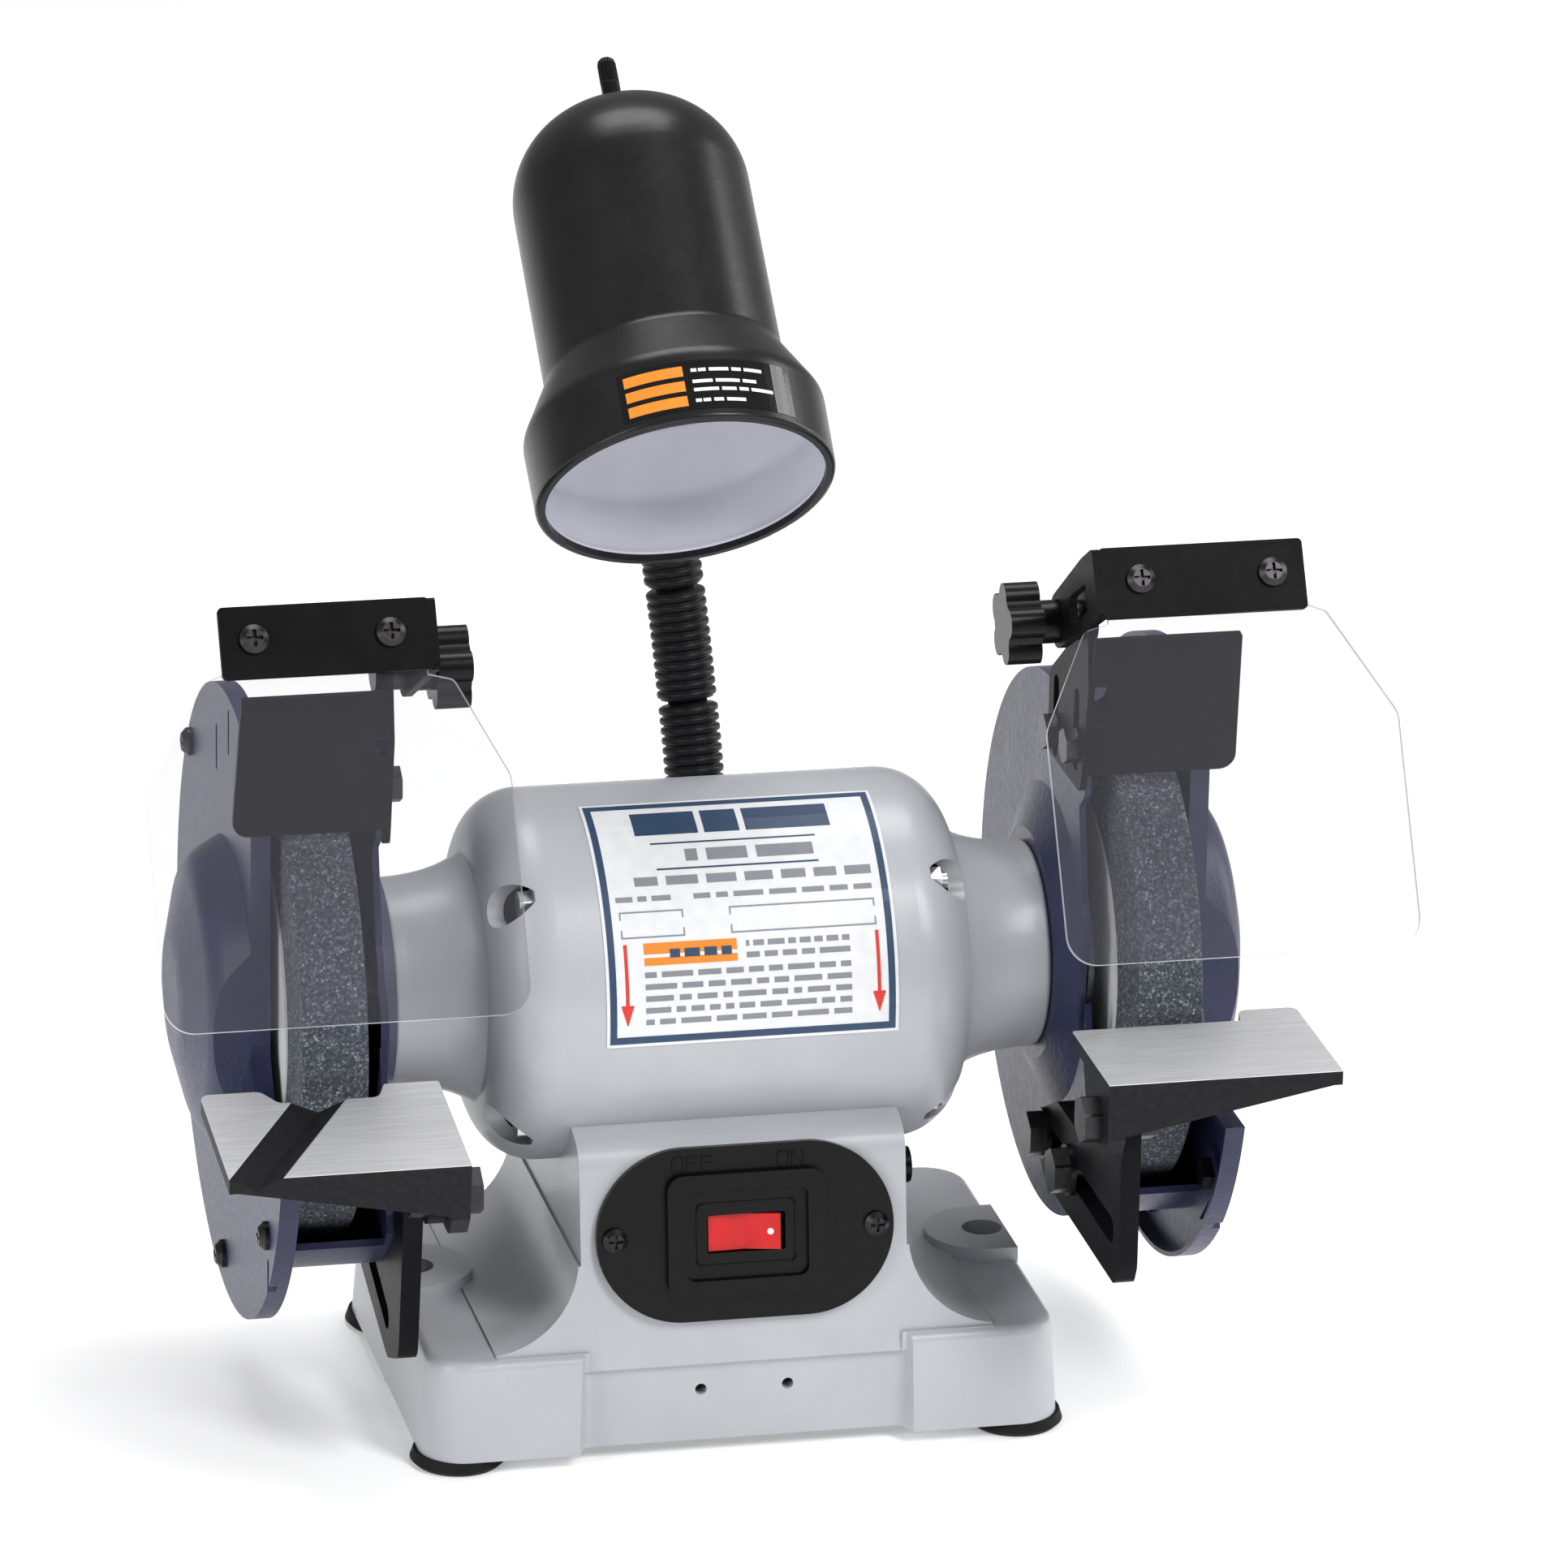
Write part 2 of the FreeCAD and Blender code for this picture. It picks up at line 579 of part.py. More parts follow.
def make_inner_flange():
    x0, x1 = SHOULDER_X, WHEEL_IN - BLOTTER_T
    return spin_x(((x0, SHAFT_END_R + 0.02), (x1, SHAFT_END_R + 0.02), (x1, 18.0),
                   (x1, FLANGE_R), (x1 - 1.8, FLANGE_R), (x0 + 0.4, 16.0), (x0, 15.5)))


def make_outer_flange():
    x0 = WHEEL_OUT + BLOTTER_T
    x1 = x0 + FLANGE_T
    return spin_x(((x0, SHAFT_END_R + 0.02), (x1, SHAFT_END_R + 0.02), (x1, 15.5),
                   (x0 + 2.0, FLANGE_R), (x0, FLANGE_R)))


def make_spindle_nut():
    x0 = WHEEL_OUT + BLOTTER_T + FLANGE_T
    nut = hex_x(NUT_AF, x0, x0 + NUT_T, 0, SPINDLE_Z)
    return nut.cut(cyl_x(SHAFT_END_R, x0 - 1, x0 + NUT_T + 1, 0, SPINDLE_Z))


# --- guards ---------------------------------------------------------------------------
def guard_plate_outline(x0, x1):
    disc = cyl_x(GUARD_R, x0, x1, 0, SPINDLE_Z)
    front = plate_yz(((-120, 20, 0), (-66.5, 64, 0), (-30.0, 214, 0), (-30.0, 240, 0),
                      (-120, 240, 0)), x0 - 1, x1 + 1)
    return disc.cut(front)


def make_inner_guard(arm_bolts):
    x0, x1 = GUARD_IN, GUARD_IN + GUARD_T
    sheet = guard_plate_outline(x0, x1)
    sheet = sheet.cut(cyl_x(BOSS_FOOT_R, x0 - 1, x1 + 1, 0, SPINDLE_Z))
    boss = spin_x(((NECK_FACE, 13.0), (NECK_FACE, BOSS_TOP_R), (x0, BOSS_FOOT_R),
                   (x0, BOSS_FOOT_R + 1.0), (x1, BOSS_FOOT_R + 1.0), (x1, BOSS_FOOT_R - 1.2),
                   (NECK_FACE + GUARD_T, BOSS_TOP_R - 0.8), (NECK_FACE + GUARD_T, 13.0)))
    front = box(90, 120, -90, -46.5, 80, 200)
    boss = boss.cut(front)
    wall = spin_x(((x0, GUARD_R - GUARD_T), (COVER_IN, GUARD_R - GUARD_T), (COVER_IN, GUARD_R),
                   (x0, GUARD_R)))
    mouth = plate_yz(((-120, 20, 0), (-62.0, 60, 0), (-40.0, 110, 0), (-30.0, 206, 0),
                      (-30.0, 240, 0), (-120, 240, 0)), x0 - 1, COVER_IN + 1)
    wall = wall.cut(mouth)
    pieces = [sheet, boss, wall]
    top_ear = plate_yz(((-42.0, 196, 3.0), (-42.0, 222, 6.0), (-2.0, 217, 5.0),
                        (-2.0, 190, 0), (-30, 186, 0)), x0, x1)
    pieces.append(top_ear)
    for y, z in arm_bolts:
        pieces.append(cyl_x(9.5, x0, x1, y, z))
    span = plate_yz(((arm_bolts[1][0] - 9, arm_bolts[1][1] + 2, 0),
                     (arm_bolts[1][0] + 2, arm_bolts[1][1] - 9.3, 0),
                     (arm_bolts[0][0], arm_bolts[0][1] - 9.3, 0),
                     (arm_bolts[0][0], arm_bolts[0][1] + 22, 0),
                     (-48.0, 112.0, 0)), x0, x1)
    pieces.append(span)
    for y, z in COVER_SCREWS:
        out = V(0, y, z - SPINDLE_Z)
        out.normalize()
        angle = degrees(atan2(out.z, out.y))
        tab = box(COVER_IN - 2.0, COVER_IN, GUARD_R - 1.5, GUARD_R + 8.0, -7, 7)
        tab.rotate(ORIGIN, X_AXIS, angle)
        tab.translate(SPINDLE_AXIS)
        pieces.append(tab)
    y, z = COVER_SCREWS[0]
    pieces.append(plate_yz(((y - 7, z - 1, 2.0), (y + 12, z - 20, 0), (y + 18, z - 14, 0),
                            (y + 3, z + 9, 2.0)), COVER_IN - 2.0, COVER_IN))
    guard = fuse(pieces)
    cuts = []
    for y, z in DEFLECTOR_BOLTS:
        cuts.append(cyl_x(3.0, x0 - 1, x1 + 1, y, z))
    for y, z in arm_bolts:
        cuts.append(cyl_x(4.0, x0 - 1, x1 + 1, y, z))
    for y, z in COVER_SCREWS:
        cuts.append(cyl_x(2.0, COVER_IN - 5, COVER_IN + 1, y, z))
    for k in range(3):
        angle = pi * 2 / 3 * k
        cuts.append(cyl_x(2.1, NECK_FACE - 1, NECK_FACE + 5, 22.0 * cos(angle),
                          SPINDLE_Z + 22.0 * sin(angle)))
    return guard.cut(group(cuts))


def make_guard_screws():
    screws = []
    for k in range(3):
        angle = pi * 2 / 3 * k
        screw = pan_screw(4.0, 2.4, 1.95, 9.0)
        screws.append(pointing(screw, X_AXIS, V(NECK_FACE + GUARD_T, 22.0 * cos(angle),
                                                SPINDLE_Z + 22.0 * sin(angle))))
    return screws


def cover_blank(radius, x0, x1, inset):
    """Disc of the outer cover with the operator's opening cut away."""
    disc = cyl_x(radius, x0, x1, 0, SPINDLE_Z - COVER_DROP)
    front, lobe = COVER_FRONT + inset, COVER_LOBE_TOP - inset
    opening = plate_yz(((-130, lobe, 0), (front - 14, lobe, 10.0 + inset),
                        (front, lobe + 22, 12.0 + inset), (front, 240, 0), (-130, 240, 0)),
                       x0 - 1, x1 + 1)
    return disc.cut(opening)


def make_outer_cover():
    """Pressed cover: lipped face, and a dome over the spindle end closed by a front wall."""
    x0, x1 = COVER_IN, COVER_IN + COVER_T
    face = cover_blank(COVER_R, x0, x1, 0)
    lip = cover_blank(COVER_R, x0 - COVER_LIP, x0 + 0.5, 0)
    lip = lip.cut(cover_blank(COVER_R - COVER_T, x0 - COVER_LIP - 1, x0 + 1, COVER_T))
    inner_y = COVER_FRONT + COVER_T
    dome = make_dome(DOME_R, DOME_H, x1).common(box(x0, 200, COVER_FRONT, 90, 60, 220))
    inside = make_dome(DOME_R - COVER_T, DOME_H - COVER_T, x1)
    dome = dome.cut(inside.common(box(x1 - 1, 200, inner_y, 90, 60, 220)))
    hollow = cyl_x(DOME_R - COVER_T, x0 - 1, x1 + 1, 0, SPINDLE_Z)
    hollow = hollow.common(box(x0 - 1, x1 + 1, inner_y, 90, 60, 220))
    cover = fuse([face.cut(hollow), lip, dome])
    cuts = []
    for y, z in COVER_SCREWS:
        cuts.append(cyl_x(2.1, x0 - 1, x1 + 1, y, z))
    for y, z, half in COVER_SLOTS:
        cuts.append(slot_x(y, z - half, y, z + half, 1.3, x0 - 1, x1 + 1))
    return cover.cut(group(cuts))


def make_dome(radius, height, x):
    """Low dome standing on the plane at x, rounded at the shoulder and over the top."""
    return spin_x(((x - 1, 0), (x - 1, radius), (x, radius, 0),
                   (x + height * 0.62, radius * 0.88, height * 0.7),
                   (x + height, radius * 0.36, radius * 0.62), (x + height, 0)))


def make_cover_screws_right():
    screws = []
    for y, z in COVER_SCREWS:
        screw = pan_screw(4.4, 3.0, 2.0, 7.0)
        screws.append(pointing(screw, X_AXIS, V(COVER_IN + COVER_T, y, z)))
    return screws


def make_cover_clips():
    clips = []
    for y, z in COVER_SCREWS:
        clip = box(COVER_IN - 5.5, COVER_IN - 2.0, -3.5, 3.5, -3.5, 3.5)
        clip.rotate(ORIGIN, X_AXIS, degrees(atan2(z - SPINDLE_Z, y)))
        clip.translate(V(0, y, z))
        clips.append(clip.cut(cyl_x(2.0, COVER_IN - 7, COVER_IN, y, z)))
    return clips


# --- spark deflector --------------------------------------------------------------------
def make_deflector():
    x0, x1 = FLANGE_IN, GUARD_IN
    face = plate(((x0 + 1.0, 0, 0), (DEFLECTOR_OUT, 0, 5.0), (DEFLECTOR_OUT - 1.5, 47.0, 1.0),
                  (x0 + 1.0, 47.0, 0)), on_xz(0), V(0, -DEFLECTOR_T, 0))
    notch = plate(((x0 - 2, 31.0, 0), (x0 + 6.0, 31.0, 0), (x0 + 6.0, 25.0, 4.0),
                   (x0 - 2, 25.0, 0)), on_xz(2), V(0, -8, 0))
    face = face.cut(notch)
    face.rotate(ORIGIN, X_AXIS, 11.0)
    face.translate(V(0, -43.0, 204.0))
    flange = plate_yz(((-44.8, 203.6, 0), (-43.5, 198.0, 3.0), (-3.0, 198.0, 4.0),
                       (-3.0, 224.0, 8.0), (-26.0, 240.0, 5.0), (-26.0, 262.0, 9.0),
                       (-46.0, 262.0, 9.0), (-50.5, 233.0, 0)), x0, x1)
    body = fuse([face, flange])
    cuts = [slot_x(y, z - 5.0, y, z + 15.0, 3.1, x0 - 1, x1 + 1) for y, z in DEFLECTOR_BOLTS]
    cuts.append(cyl_x(3.0, x0 - 1, x1 + 1, HINGE_Y, HINGE_Z))
    return body.cut(group(cuts))


def hex_bolt_in(across, head_t, shank_r, seat_x, end_x, y, z):
    """Hex bolt with its head on the motor side of seat_x and its shank running outwards."""
    head = hex_x(across, seat_x - head_t, seat_x, y, z)
    shank = cyl_x(shank_r, seat_x - 1, end_x, y, z)
    return fuse([head, shank])


def hex_nut(across, x0, x1, bore_r, y, z):
    return hex_x(across, x0, x1, y, z).cut(cyl_x(bore_r, x0 - 1, x1 + 1, y, z))


def make_deflector_bolts():
    x1 = GUARD_IN + GUARD_T
    pieces = []
    for y, z in DEFLECTOR_BOLTS:
        pieces.append(hex_bolt_in(10.0, 4.0, 2.95, FLANGE_IN - 0.05, x1 + 5.0, y, z))
    return pieces


def make_deflector_nuts():
    x1 = GUARD_IN + GUARD_T
    return [hex_nut(10.0, x1, x1 + 3.5, 2.95, y, z) for y, z in DEFLECTOR_BOLTS]


# --- eye shield -------------------------------------------------------------------------
def make_shield_bracket():
    """Bar across the top of the lens with an arm folded back to the clamp axis."""
    bar = plate(rectangle(101.0, 163.5, -21.5, 0, 1.5), on_xz(0), V(0, 2.0, 0))
    bar = bar.cut(group([cyl_y(2.1, -2, 4, x, z) for x, z in LENS_SCREWS]))
    end = SHIELD_ARM_BACK + 7.8
    arm = plate_yz(((0, 0, 2.0), (2.0, 0, 0), (14.0, 0, 4.0), (end, -3.6, 7.8),
                    (end, -19.4, 7.8), (2.0, -21.5, 0), (0, -21.5, 2.0)), 99.0, 101.5)
    window = plate_yz(rectangle(11.0, 34.0, -16.5, -8.0, 3.0), 98, 103)
    arm = arm.cut(window).cut(cyl_x(3.08, 98, 103, SHIELD_ARM_BACK, -SHIELD_ARM_DOWN))
    return fuse([bar, arm])


def shield_in_place(shape, top_y, top_z, tilt):
    moved = shape.copy()
    moved.rotate(ORIGIN, X_AXIS, -tilt)
    moved.translate(V(0, top_y, top_z))
    return moved


def shield_top():
    """Top edge of the bar, so that the arm's hole falls on the clamp axis."""
    angle = radians(SHIELD_TILT)
    y = SHIELD_ARM_BACK * cos(angle) - SHIELD_ARM_DOWN * sin(angle)
    z = -SHIELD_ARM_BACK * sin(angle) - SHIELD_ARM_DOWN * cos(angle)
    return HINGE_Y - y, HINGE_Z - z


def make_lens():
    sheet = plate(((103.0, -1.5, 3.0), (161.5, -1.5, 3.0), (162.0, -19.0, 0), (169.5, -22.0, 3.0),
                   (188.5, -54.0, 8.0), (188.5, -124.5, 9.0), (80.5, -124.5, 9.0),
                   (80.5, -54.0, 8.0), (95.0, -24.5, 3.0), (102.5, -22.5, 0)), on_xz(2.0),
                  V(0, 2.0, 0))
    return sheet.cut(group([cyl_y(2.1, 0, 6, x, z) for x, z in LENS_SCREWS]))


def make_lens_screws():
    screws = []
    for x, z in LENS_SCREWS:
        screws.append(pointing(pan_screw(4.3, 2.6, 1.95, 8.5), V(0, -1, 0), V(x, 0, z)))
    return screws


def make_lens_nuts():
    nuts = []
    for x, z in LENS_SCREWS:
        nut = hex_z(7.0, 0, 3.0, 0, 0).cut(cyl_z(1.95, -1, 4, 0, 0))
        nuts.append(pointing(nut, Y_AXIS, V(x, 4.0, z)))
    return nuts


def make_shield_pivot():
    """Carriage bolt with a shoulder, fixed in the deflector's ear."""
    y, z = HINGE_Y, HINGE_Z
    head = cyl_x(6.5, GUARD_IN, GUARD_IN + 2.5, y, z)
    ear = cyl_x(3.0, FLANGE_IN - 1, GUARD_IN + 1, y, z)
    shoulder = cyl_x(6.0, 101.6, FLANGE_IN, y, z)
    shank = cyl_x(3.0, 84.0, 103.0, y, z)
    return fuse([head, ear, shoulder, shank])


def make_knob():
    y, z = HINGE_Y, HINGE_Z
    lobes = []
    for k in range(5):
        angle = 2 * pi * k / 5 + 0.3
        lobes.append(cyl_x(4.6, 82.0, 92.5, y + 8.2 * cos(angle), z + 8.2 * sin(angle)))
    core = cyl_x(9.6, 82.0, 92.5, y, z)
    collar = cyl_x(6.6, 92.0, 98.9, y, z)
    body = fuse([core, collar] + lobes)
    return body.cut(cyl_x(3.05, 83.0, 100.0, y, z))


# --- tool rest ----------------------------------------------------------------------------
def make_arm_right():
    py, pz = PIVOT_RIGHT
    upright = plate_yz(((py - 9, pz, 0), (-120.5, 74, 6.0), (-117.0, 67.0, 5.0),
                        (-30.0, 67.0, 10.0), (-16.0, 78.0, 7.0), (-21.0, 87.0, 3.0),
                        (-42.0, 97.5, 5.0), (-66.0, 98.0, 10.0), (py + 9, 109, 10.0), (py + 9, pz, 0)),
                       ARM_IN, ARM_IN + ARM_T)
    arm = fuse([upright, cyl_x(9.0, ARM_IN, ARM_IN + ARM_T, py, pz)])
    slot = slot_x(-26.0, 82.5, -110.0, 82.5, 4.15, 90, 120)
    return arm.cut(slot).cut(cyl_x(PIVOT_R, 90, 120, py, pz))


def make_arm_left():
    py, pz = PIVOT_LEFT
    upright = plate_yz(((py - 8, pz - 4, 0), (-80.0, 92.0, 6.0), (-72.0, 40.0, 8.0),
                        (-54.0, 33.0, 8.0), (26.0, 55.0, 12.0), (24.0, 79.5, 9.0),
                        (-50.0, 74.0, 14.0), (py + 7, pz + 6, 0)), ARM_IN, ARM_IN + ARM_T)
    arm = fuse([upright, cyl_x(9.0, ARM_IN, ARM_IN + ARM_T, py, pz)])
    slot = slot_x(16.0, 67.76, -52.0, 46.0, 4.15, 90, 120)
    return arm.cut(slot).cut(cyl_x(PIVOT_R, 90, 120, py, pz))


def make_arm_bolts(points):
    x1 = GUARD_IN + GUARD_T
    bolts = []
    for y, z in points:
        washer = cyl_x(8.0, ARM_IN - 1.6, ARM_IN - 0.05, y, z)
        head = hex_x(13.0, ARM_IN - 6.5, ARM_IN - 1.5, y, z)
        shank = cyl_x(4.0, ARM_IN - 2, x1 + 5.5, y, z)
        bolts.append(fuse([head, washer, shank]))
    return bolts


def make_arm_nuts(points):
    x1 = GUARD_IN + GUARD_T
    return [hex_nut(13.0, x1, x1 + 5.0, 4.0, y, z) for y, z in points]


def rest_blank(top, back_parts):
    """Wedge-shaped table: flat top, front skirt, inner lug wall; the underside is hollow."""
    skirt = plate(((REST_IN, top - REST_DEEP, 1.5), (REST_OUT, top - REST_THIN, 1.0),
                   (REST_OUT, top, 0), (REST_IN, top, 0)), on_xz(REST_FRONT), V(0, 3.5, 0))
    slab = plate_xy(back_parts, top - REST_TOP_T, top)
    return skirt, slab


def make_tool_rest(pivot, top, back_parts, grooved):
    skirt, slab = rest_blank(top, back_parts)
    py, pz = pivot
    wall = plate_yz(((REST_FRONT, top, 0), (REST_FRONT, top - REST_DEEP, 1.0),
                     (py - 9.0, pz - 9.5, 4.0), (py + 9.0, pz - 11.0, 6.0),
                     (py + 18.0, top - REST_TOP_T, 0), (py + 18.0, top, 0)),
                    REST_IN, ARM_IN)
    rib_x = REST_OUT - 26.0
    rib = plate_yz(((REST_FRONT, top - 1, 0), (REST_FRONT + 1, top - 8.5, 0),
                    (REST_BACK - 6, top - REST_TOP_T - 0.5, 0), (REST_BACK - 6, top - 1, 0)),
                   rib_x, rib_x + 3)
    rest = fuse([skirt, slab, wall, rib])
    rest = rest.cut(cyl_x(PIVOT_R + 0.03, REST_IN - 2, ARM_IN + 1, py, pz))
    if grooved:
        groove = plate(((-8.6, 0.6, 0), (8.6, 0.6, 0), (0, -3.9, 0)), on_xz(-60), V(0, 120, 0))
        groove.rotate(ORIGIN, Z_AXIS, 30.0)
        groove.translate(V(147.5, -102.0, top))
        rest = rest.cut(groove)
    return rest


def make_pivot_bolt(pivot):
    y, z = pivot
    head = hex_x(13.0, REST_IN - 5.3, REST_IN - 0.05, y, z)
    shank = cyl_x(PIVOT_R, REST_IN - 1, ARM_IN + ARM_T + 5.5, y, z)
    return fuse([head, shank])


def make_pivot_nut(pivot):
    x0 = ARM_IN + ARM_T
    return hex_nut(13.0, x0, x0 + 5.0, PIVOT_R, pivot[0], pivot[1])


# --- switch -----------------------------------------------------------------------------
def stadium(half_long, half_high):
    return rectangle(-half_long, half_long, -half_high, half_high, half_high - 0.01)


def make_switch_plate():
    face = plate(stadium(PLATE_LONG / 2, PLATE_HIGH / 2), on_xz(0), V(0, -PLATE_T, 0))
    bezel = plate(rectangle(-BEZEL_LONG / 2, BEZEL_LONG / 2, -BEZEL_HIGH / 2, BEZEL_HIGH / 2,
                            5.0), on_xz(-PLATE_T + 0.5), V(0, -BEZEL_T, 0))
    body = fuse([face, bezel])
    tray = plate(rectangle(-19.0, 19.0, -14.0, 14.0, 3.0), on_xz(-PLATE_T - BEZEL_T + 2.3),
                 V(0, -4, 0))
    window = plate(rectangle(-12.1, 12.1, -5.9, 5.9, 0.8), on_xz(5), V(0, -15, 0))
    holes = [cyl_y(1.9, -10, 5, -PLATE_SCREW_X, 0), cyl_y(1.9, -10, 5, PLATE_SCREW_X, 0)]
    return on_panel(body.cut(group([tray, window] + holes)))


def make_plate_screws():
    screws = []
    for side in (-1, 1):
        screw = pointing(pan_screw(3.8, 2.4, 1.45, 12.0), V(0, -1, 0),
                         V(side * PLATE_SCREW_X, -PLATE_T, 0))
        screws.append(on_panel(screw))
    return group(screws)


def make_switch_housing():
    shell = plate(rectangle(-16.0, 16.0, -10.5, 10.5, 1.5), on_xz(0), V(0, 20.0, 0))
    inside = plate(rectangle(-14.2, 14.2, -8.7, 8.7, 1.0), on_xz(-1), V(0, 19.5, 0))
    pins = []
    for side in (-1, 1):
        pins.append(cyl_z(1.2, -9.0, -6.1, 0, 1.5) if side < 0
                    else cyl_z(1.2, 6.1, 9.0, 0, 1.5))
    blades = [box(-9.5, -8.7, 19.5, 28.0, -3, 3), box(8.7, 9.5, 19.5, 28.0, -3, 3)]
    return on_panel(fuse([shell.cut(inside)] + pins + blades))


def make_rocker():
    """Rocker on a vertical pivot, resting with its OFF end pressed in."""
    paddle = plate(((-11.0, -3.4, 0), (0, -1.4, 0), (11.0, -3.4, 0), (10.0, 3.0, 1.0),
                    (4.5, 9.0, 0), (-4.5, 9.0, 0), (-10.0, 3.0, 1.0)), on_xy(-5.5),
                   V(0, 0, 11.0))
    paddle = paddle.cut(cyl_z(1.25, -5.6, -2.5, 0, 1.5)).cut(cyl_z(1.25, 2.5, 5.6, 0, 1.5))
    paddle.rotate(V(0, 1.5, 0), Z_AXIS, ROCKER_TILT)
    return on_panel(paddle)


# --- cord inlet -----------------------------------------------------------------------------
def make_gland():
    flange = cyl_x(GLAND_R, PED_HALF + 2.0, PED_HALF + 5.0, GLAND_Y, GLAND_Z)
    nose = Part.makeCone(7.0, 5.6, 8.0, V(PED_HALF + 5.0, GLAND_Y, GLAND_Z), X_AXIS)
    stem = cyl_x(5.6, PED_HALF - 6.0, PED_HALF + 2.5, GLAND_Y, GLAND_Z)
    lip = cyl_x(7.4, PED_HALF - 6.5, PED_HALF - WALL, GLAND_Y, GLAND_Z)
    body = fuse([flange, nose, stem, lip])
    return body.cut(cyl_x(3.6, PED_HALF - 20, PED_HALF + 20, GLAND_Y, GLAND_Z))


# --- lamp ---------------------------------------------------------------------------------
def lamp_in_place(shape):
    moved = shape.copy()
    moved.Placement = FreeCAD.Placement(MOUTH, LAMP_TURN).multiply(moved.Placement)
    return moved


def lamp_point(x, y, h):
    """Point given in the lamp's own frame: h along its axis from the mouth."""
    return LAMP_TURN.multVec(V(x, y, h)) + MOUTH


def lamp_direction(y, h):
    return LAMP_TURN.multVec(V(0, y, h))


def make_lamp_shade():
    """Spun shade: rolled mouth, wide skirt, sloping shoulder, barrel and round crown."""
    r, t = SHADE_R, SHADE_T
    profile = ((42.8, 0, 0), (45.8, 0, 1.4), (46.1, 23.0, 8.0), (r + 0.2, 41.0, 4.0),
               (r, SHADE_LEN, 31.0), (0, SHADE_LEN, 0), (0, SHADE_LEN - t, 0),
               (r - t, SHADE_LEN - t, 29.6), (r + 0.2 - t, 40.6, 2.6),
               (46.1 - t, 22.4, 6.6), (45.8 - t, 3.0, 0), (42.8, 3.0, 0))
    shade = spin_z(profile)
    side_hole = cyl_y(5.1, 20, 60, 0, NECK_ENTRY_H)
    switch_hole = cyl_z(4.0, 120, 150, 0, 0)
    return lamp_in_place(shade.cut(side_hole).cut(switch_hole))


def make_socket():
    """Lampholder: cup round the contacts, shoulder under the crown, threaded neck through it."""
    cup = spin_z(((13.5, 62.0), (17.0, 62.0), (17.0, 88.0, 1.0), (15.0, 112.0, 1.0), (0, 112.0),
                  (0, 108.0), (13.0, 108.0), (13.5, 86.0)))
    neck = cyl_z(3.9, 111.0, SHADE_LEN + 3.6, 0, 0)
    shoulder = cyl_z(5.0, 111.0, SHADE_LEN - SHADE_T, 0, 0)
    bore = cyl_z(2.05, SHADE_LEN - 12, SHADE_LEN + 5, 0, 0)
    return lamp_in_place(fuse([cup, neck, shoulder]).cut(bore))


def make_socket_contact():
    shell = spin_z(((12.0, 64.0), (13.4, 64.0), (13.4, 86.0), (12.0, 86.0)))
    return lamp_in_place(shell)


def make_switch_nut():
    """Ring nut on the lampholder's neck, with a knurled edge."""
    ring = cyl_z(4.9, 0, 2.4, 0, 0).fuse(cyl_z(4.4, 2.3, 3.2, 0, 0))
    notches = []
    for k in range(20):
        angle = 2 * pi * k / 20
        notches.append(cyl_z(0.45, -1, 5, 5.0 * cos(angle), 5.0 * sin(angle)))
    body = ring.cut(cyl_z(3.9, -1, 5, 0, 0)).cut(group(notches))
    body.translate(V(0, 0, SHADE_LEN))
    return lamp_in_place(body)


def make_switch_stem():
    """Turn switch: spindle in the lampholder's bore and a slim round grip."""
    stem = cyl_z(2.0, -9.8, 6.0, 0, 0)
    grip = spin_z(((0, 4.2), (2.9, 4.2), (2.75, 19.6, 1.4), (0, 19.6)))
    body = fuse([stem, grip])
    body.translate(V(0, 0, SHADE_LEN))
    return lamp_in_place(body)


def neck_curve():
    end = lamp_point(0, NECK_ENTRY_R + 7.0, NECK_ENTRY_H)
    tangent = lamp_direction(-1, 0)
    points = [V(FERRULE_X, FERRULE_Y, WING_TOP + 12), V(15.0, 61.5, 90.0), V(14.2, 73.0, 140.0),
              V(12.6, 83.0, 181.0), V(7.8, 91.5, 232.0), V(-2.5, 95.0, 285.0), end]
    curve = Part.BSplineCurve()
    curve.interpolate(points, InitialTangent=V(0, 0.05, 1), FinalTangent=tangent)
    return curve


def parameter_at_height(curve, z):
    low, high = curve.FirstParameter, curve.LastParameter
    for step in range(60):
        middle = (low + high) / 2
        if curve.value(middle).z < z:
            low = middle
        else:
            high = middle
    return low


def tube_between(curve, start, end):
    """Round tube bent to one arc between two parameters of the neck curve."""
    middle = (start + end) / 2
    arc = Part.Arc(curve.value(start), curve.value(middle), curve.value(end)).toShape()
    first, last = arc.FirstParameter, arc.LastParameter
    opening = Part.makeCircle(NECK_PIPE_R, arc.valueAt(first), arc.tangentAt(first))
    face = Part.Face(Part.Wire([opening]))
    return face.revolve(arc.Curve.Center, arc.Curve.Axis, degrees(last - first))


def neck_frames(curve):
    """Ball centre and tube direction of every neck joint, from the root up."""
    frames = []
    for z in NECK_JOINT_HEIGHTS:
        at = parameter_at_height(curve, z)
        frames.append((at, curve.value(at), curve.tangent(at)[0]))
    return frames


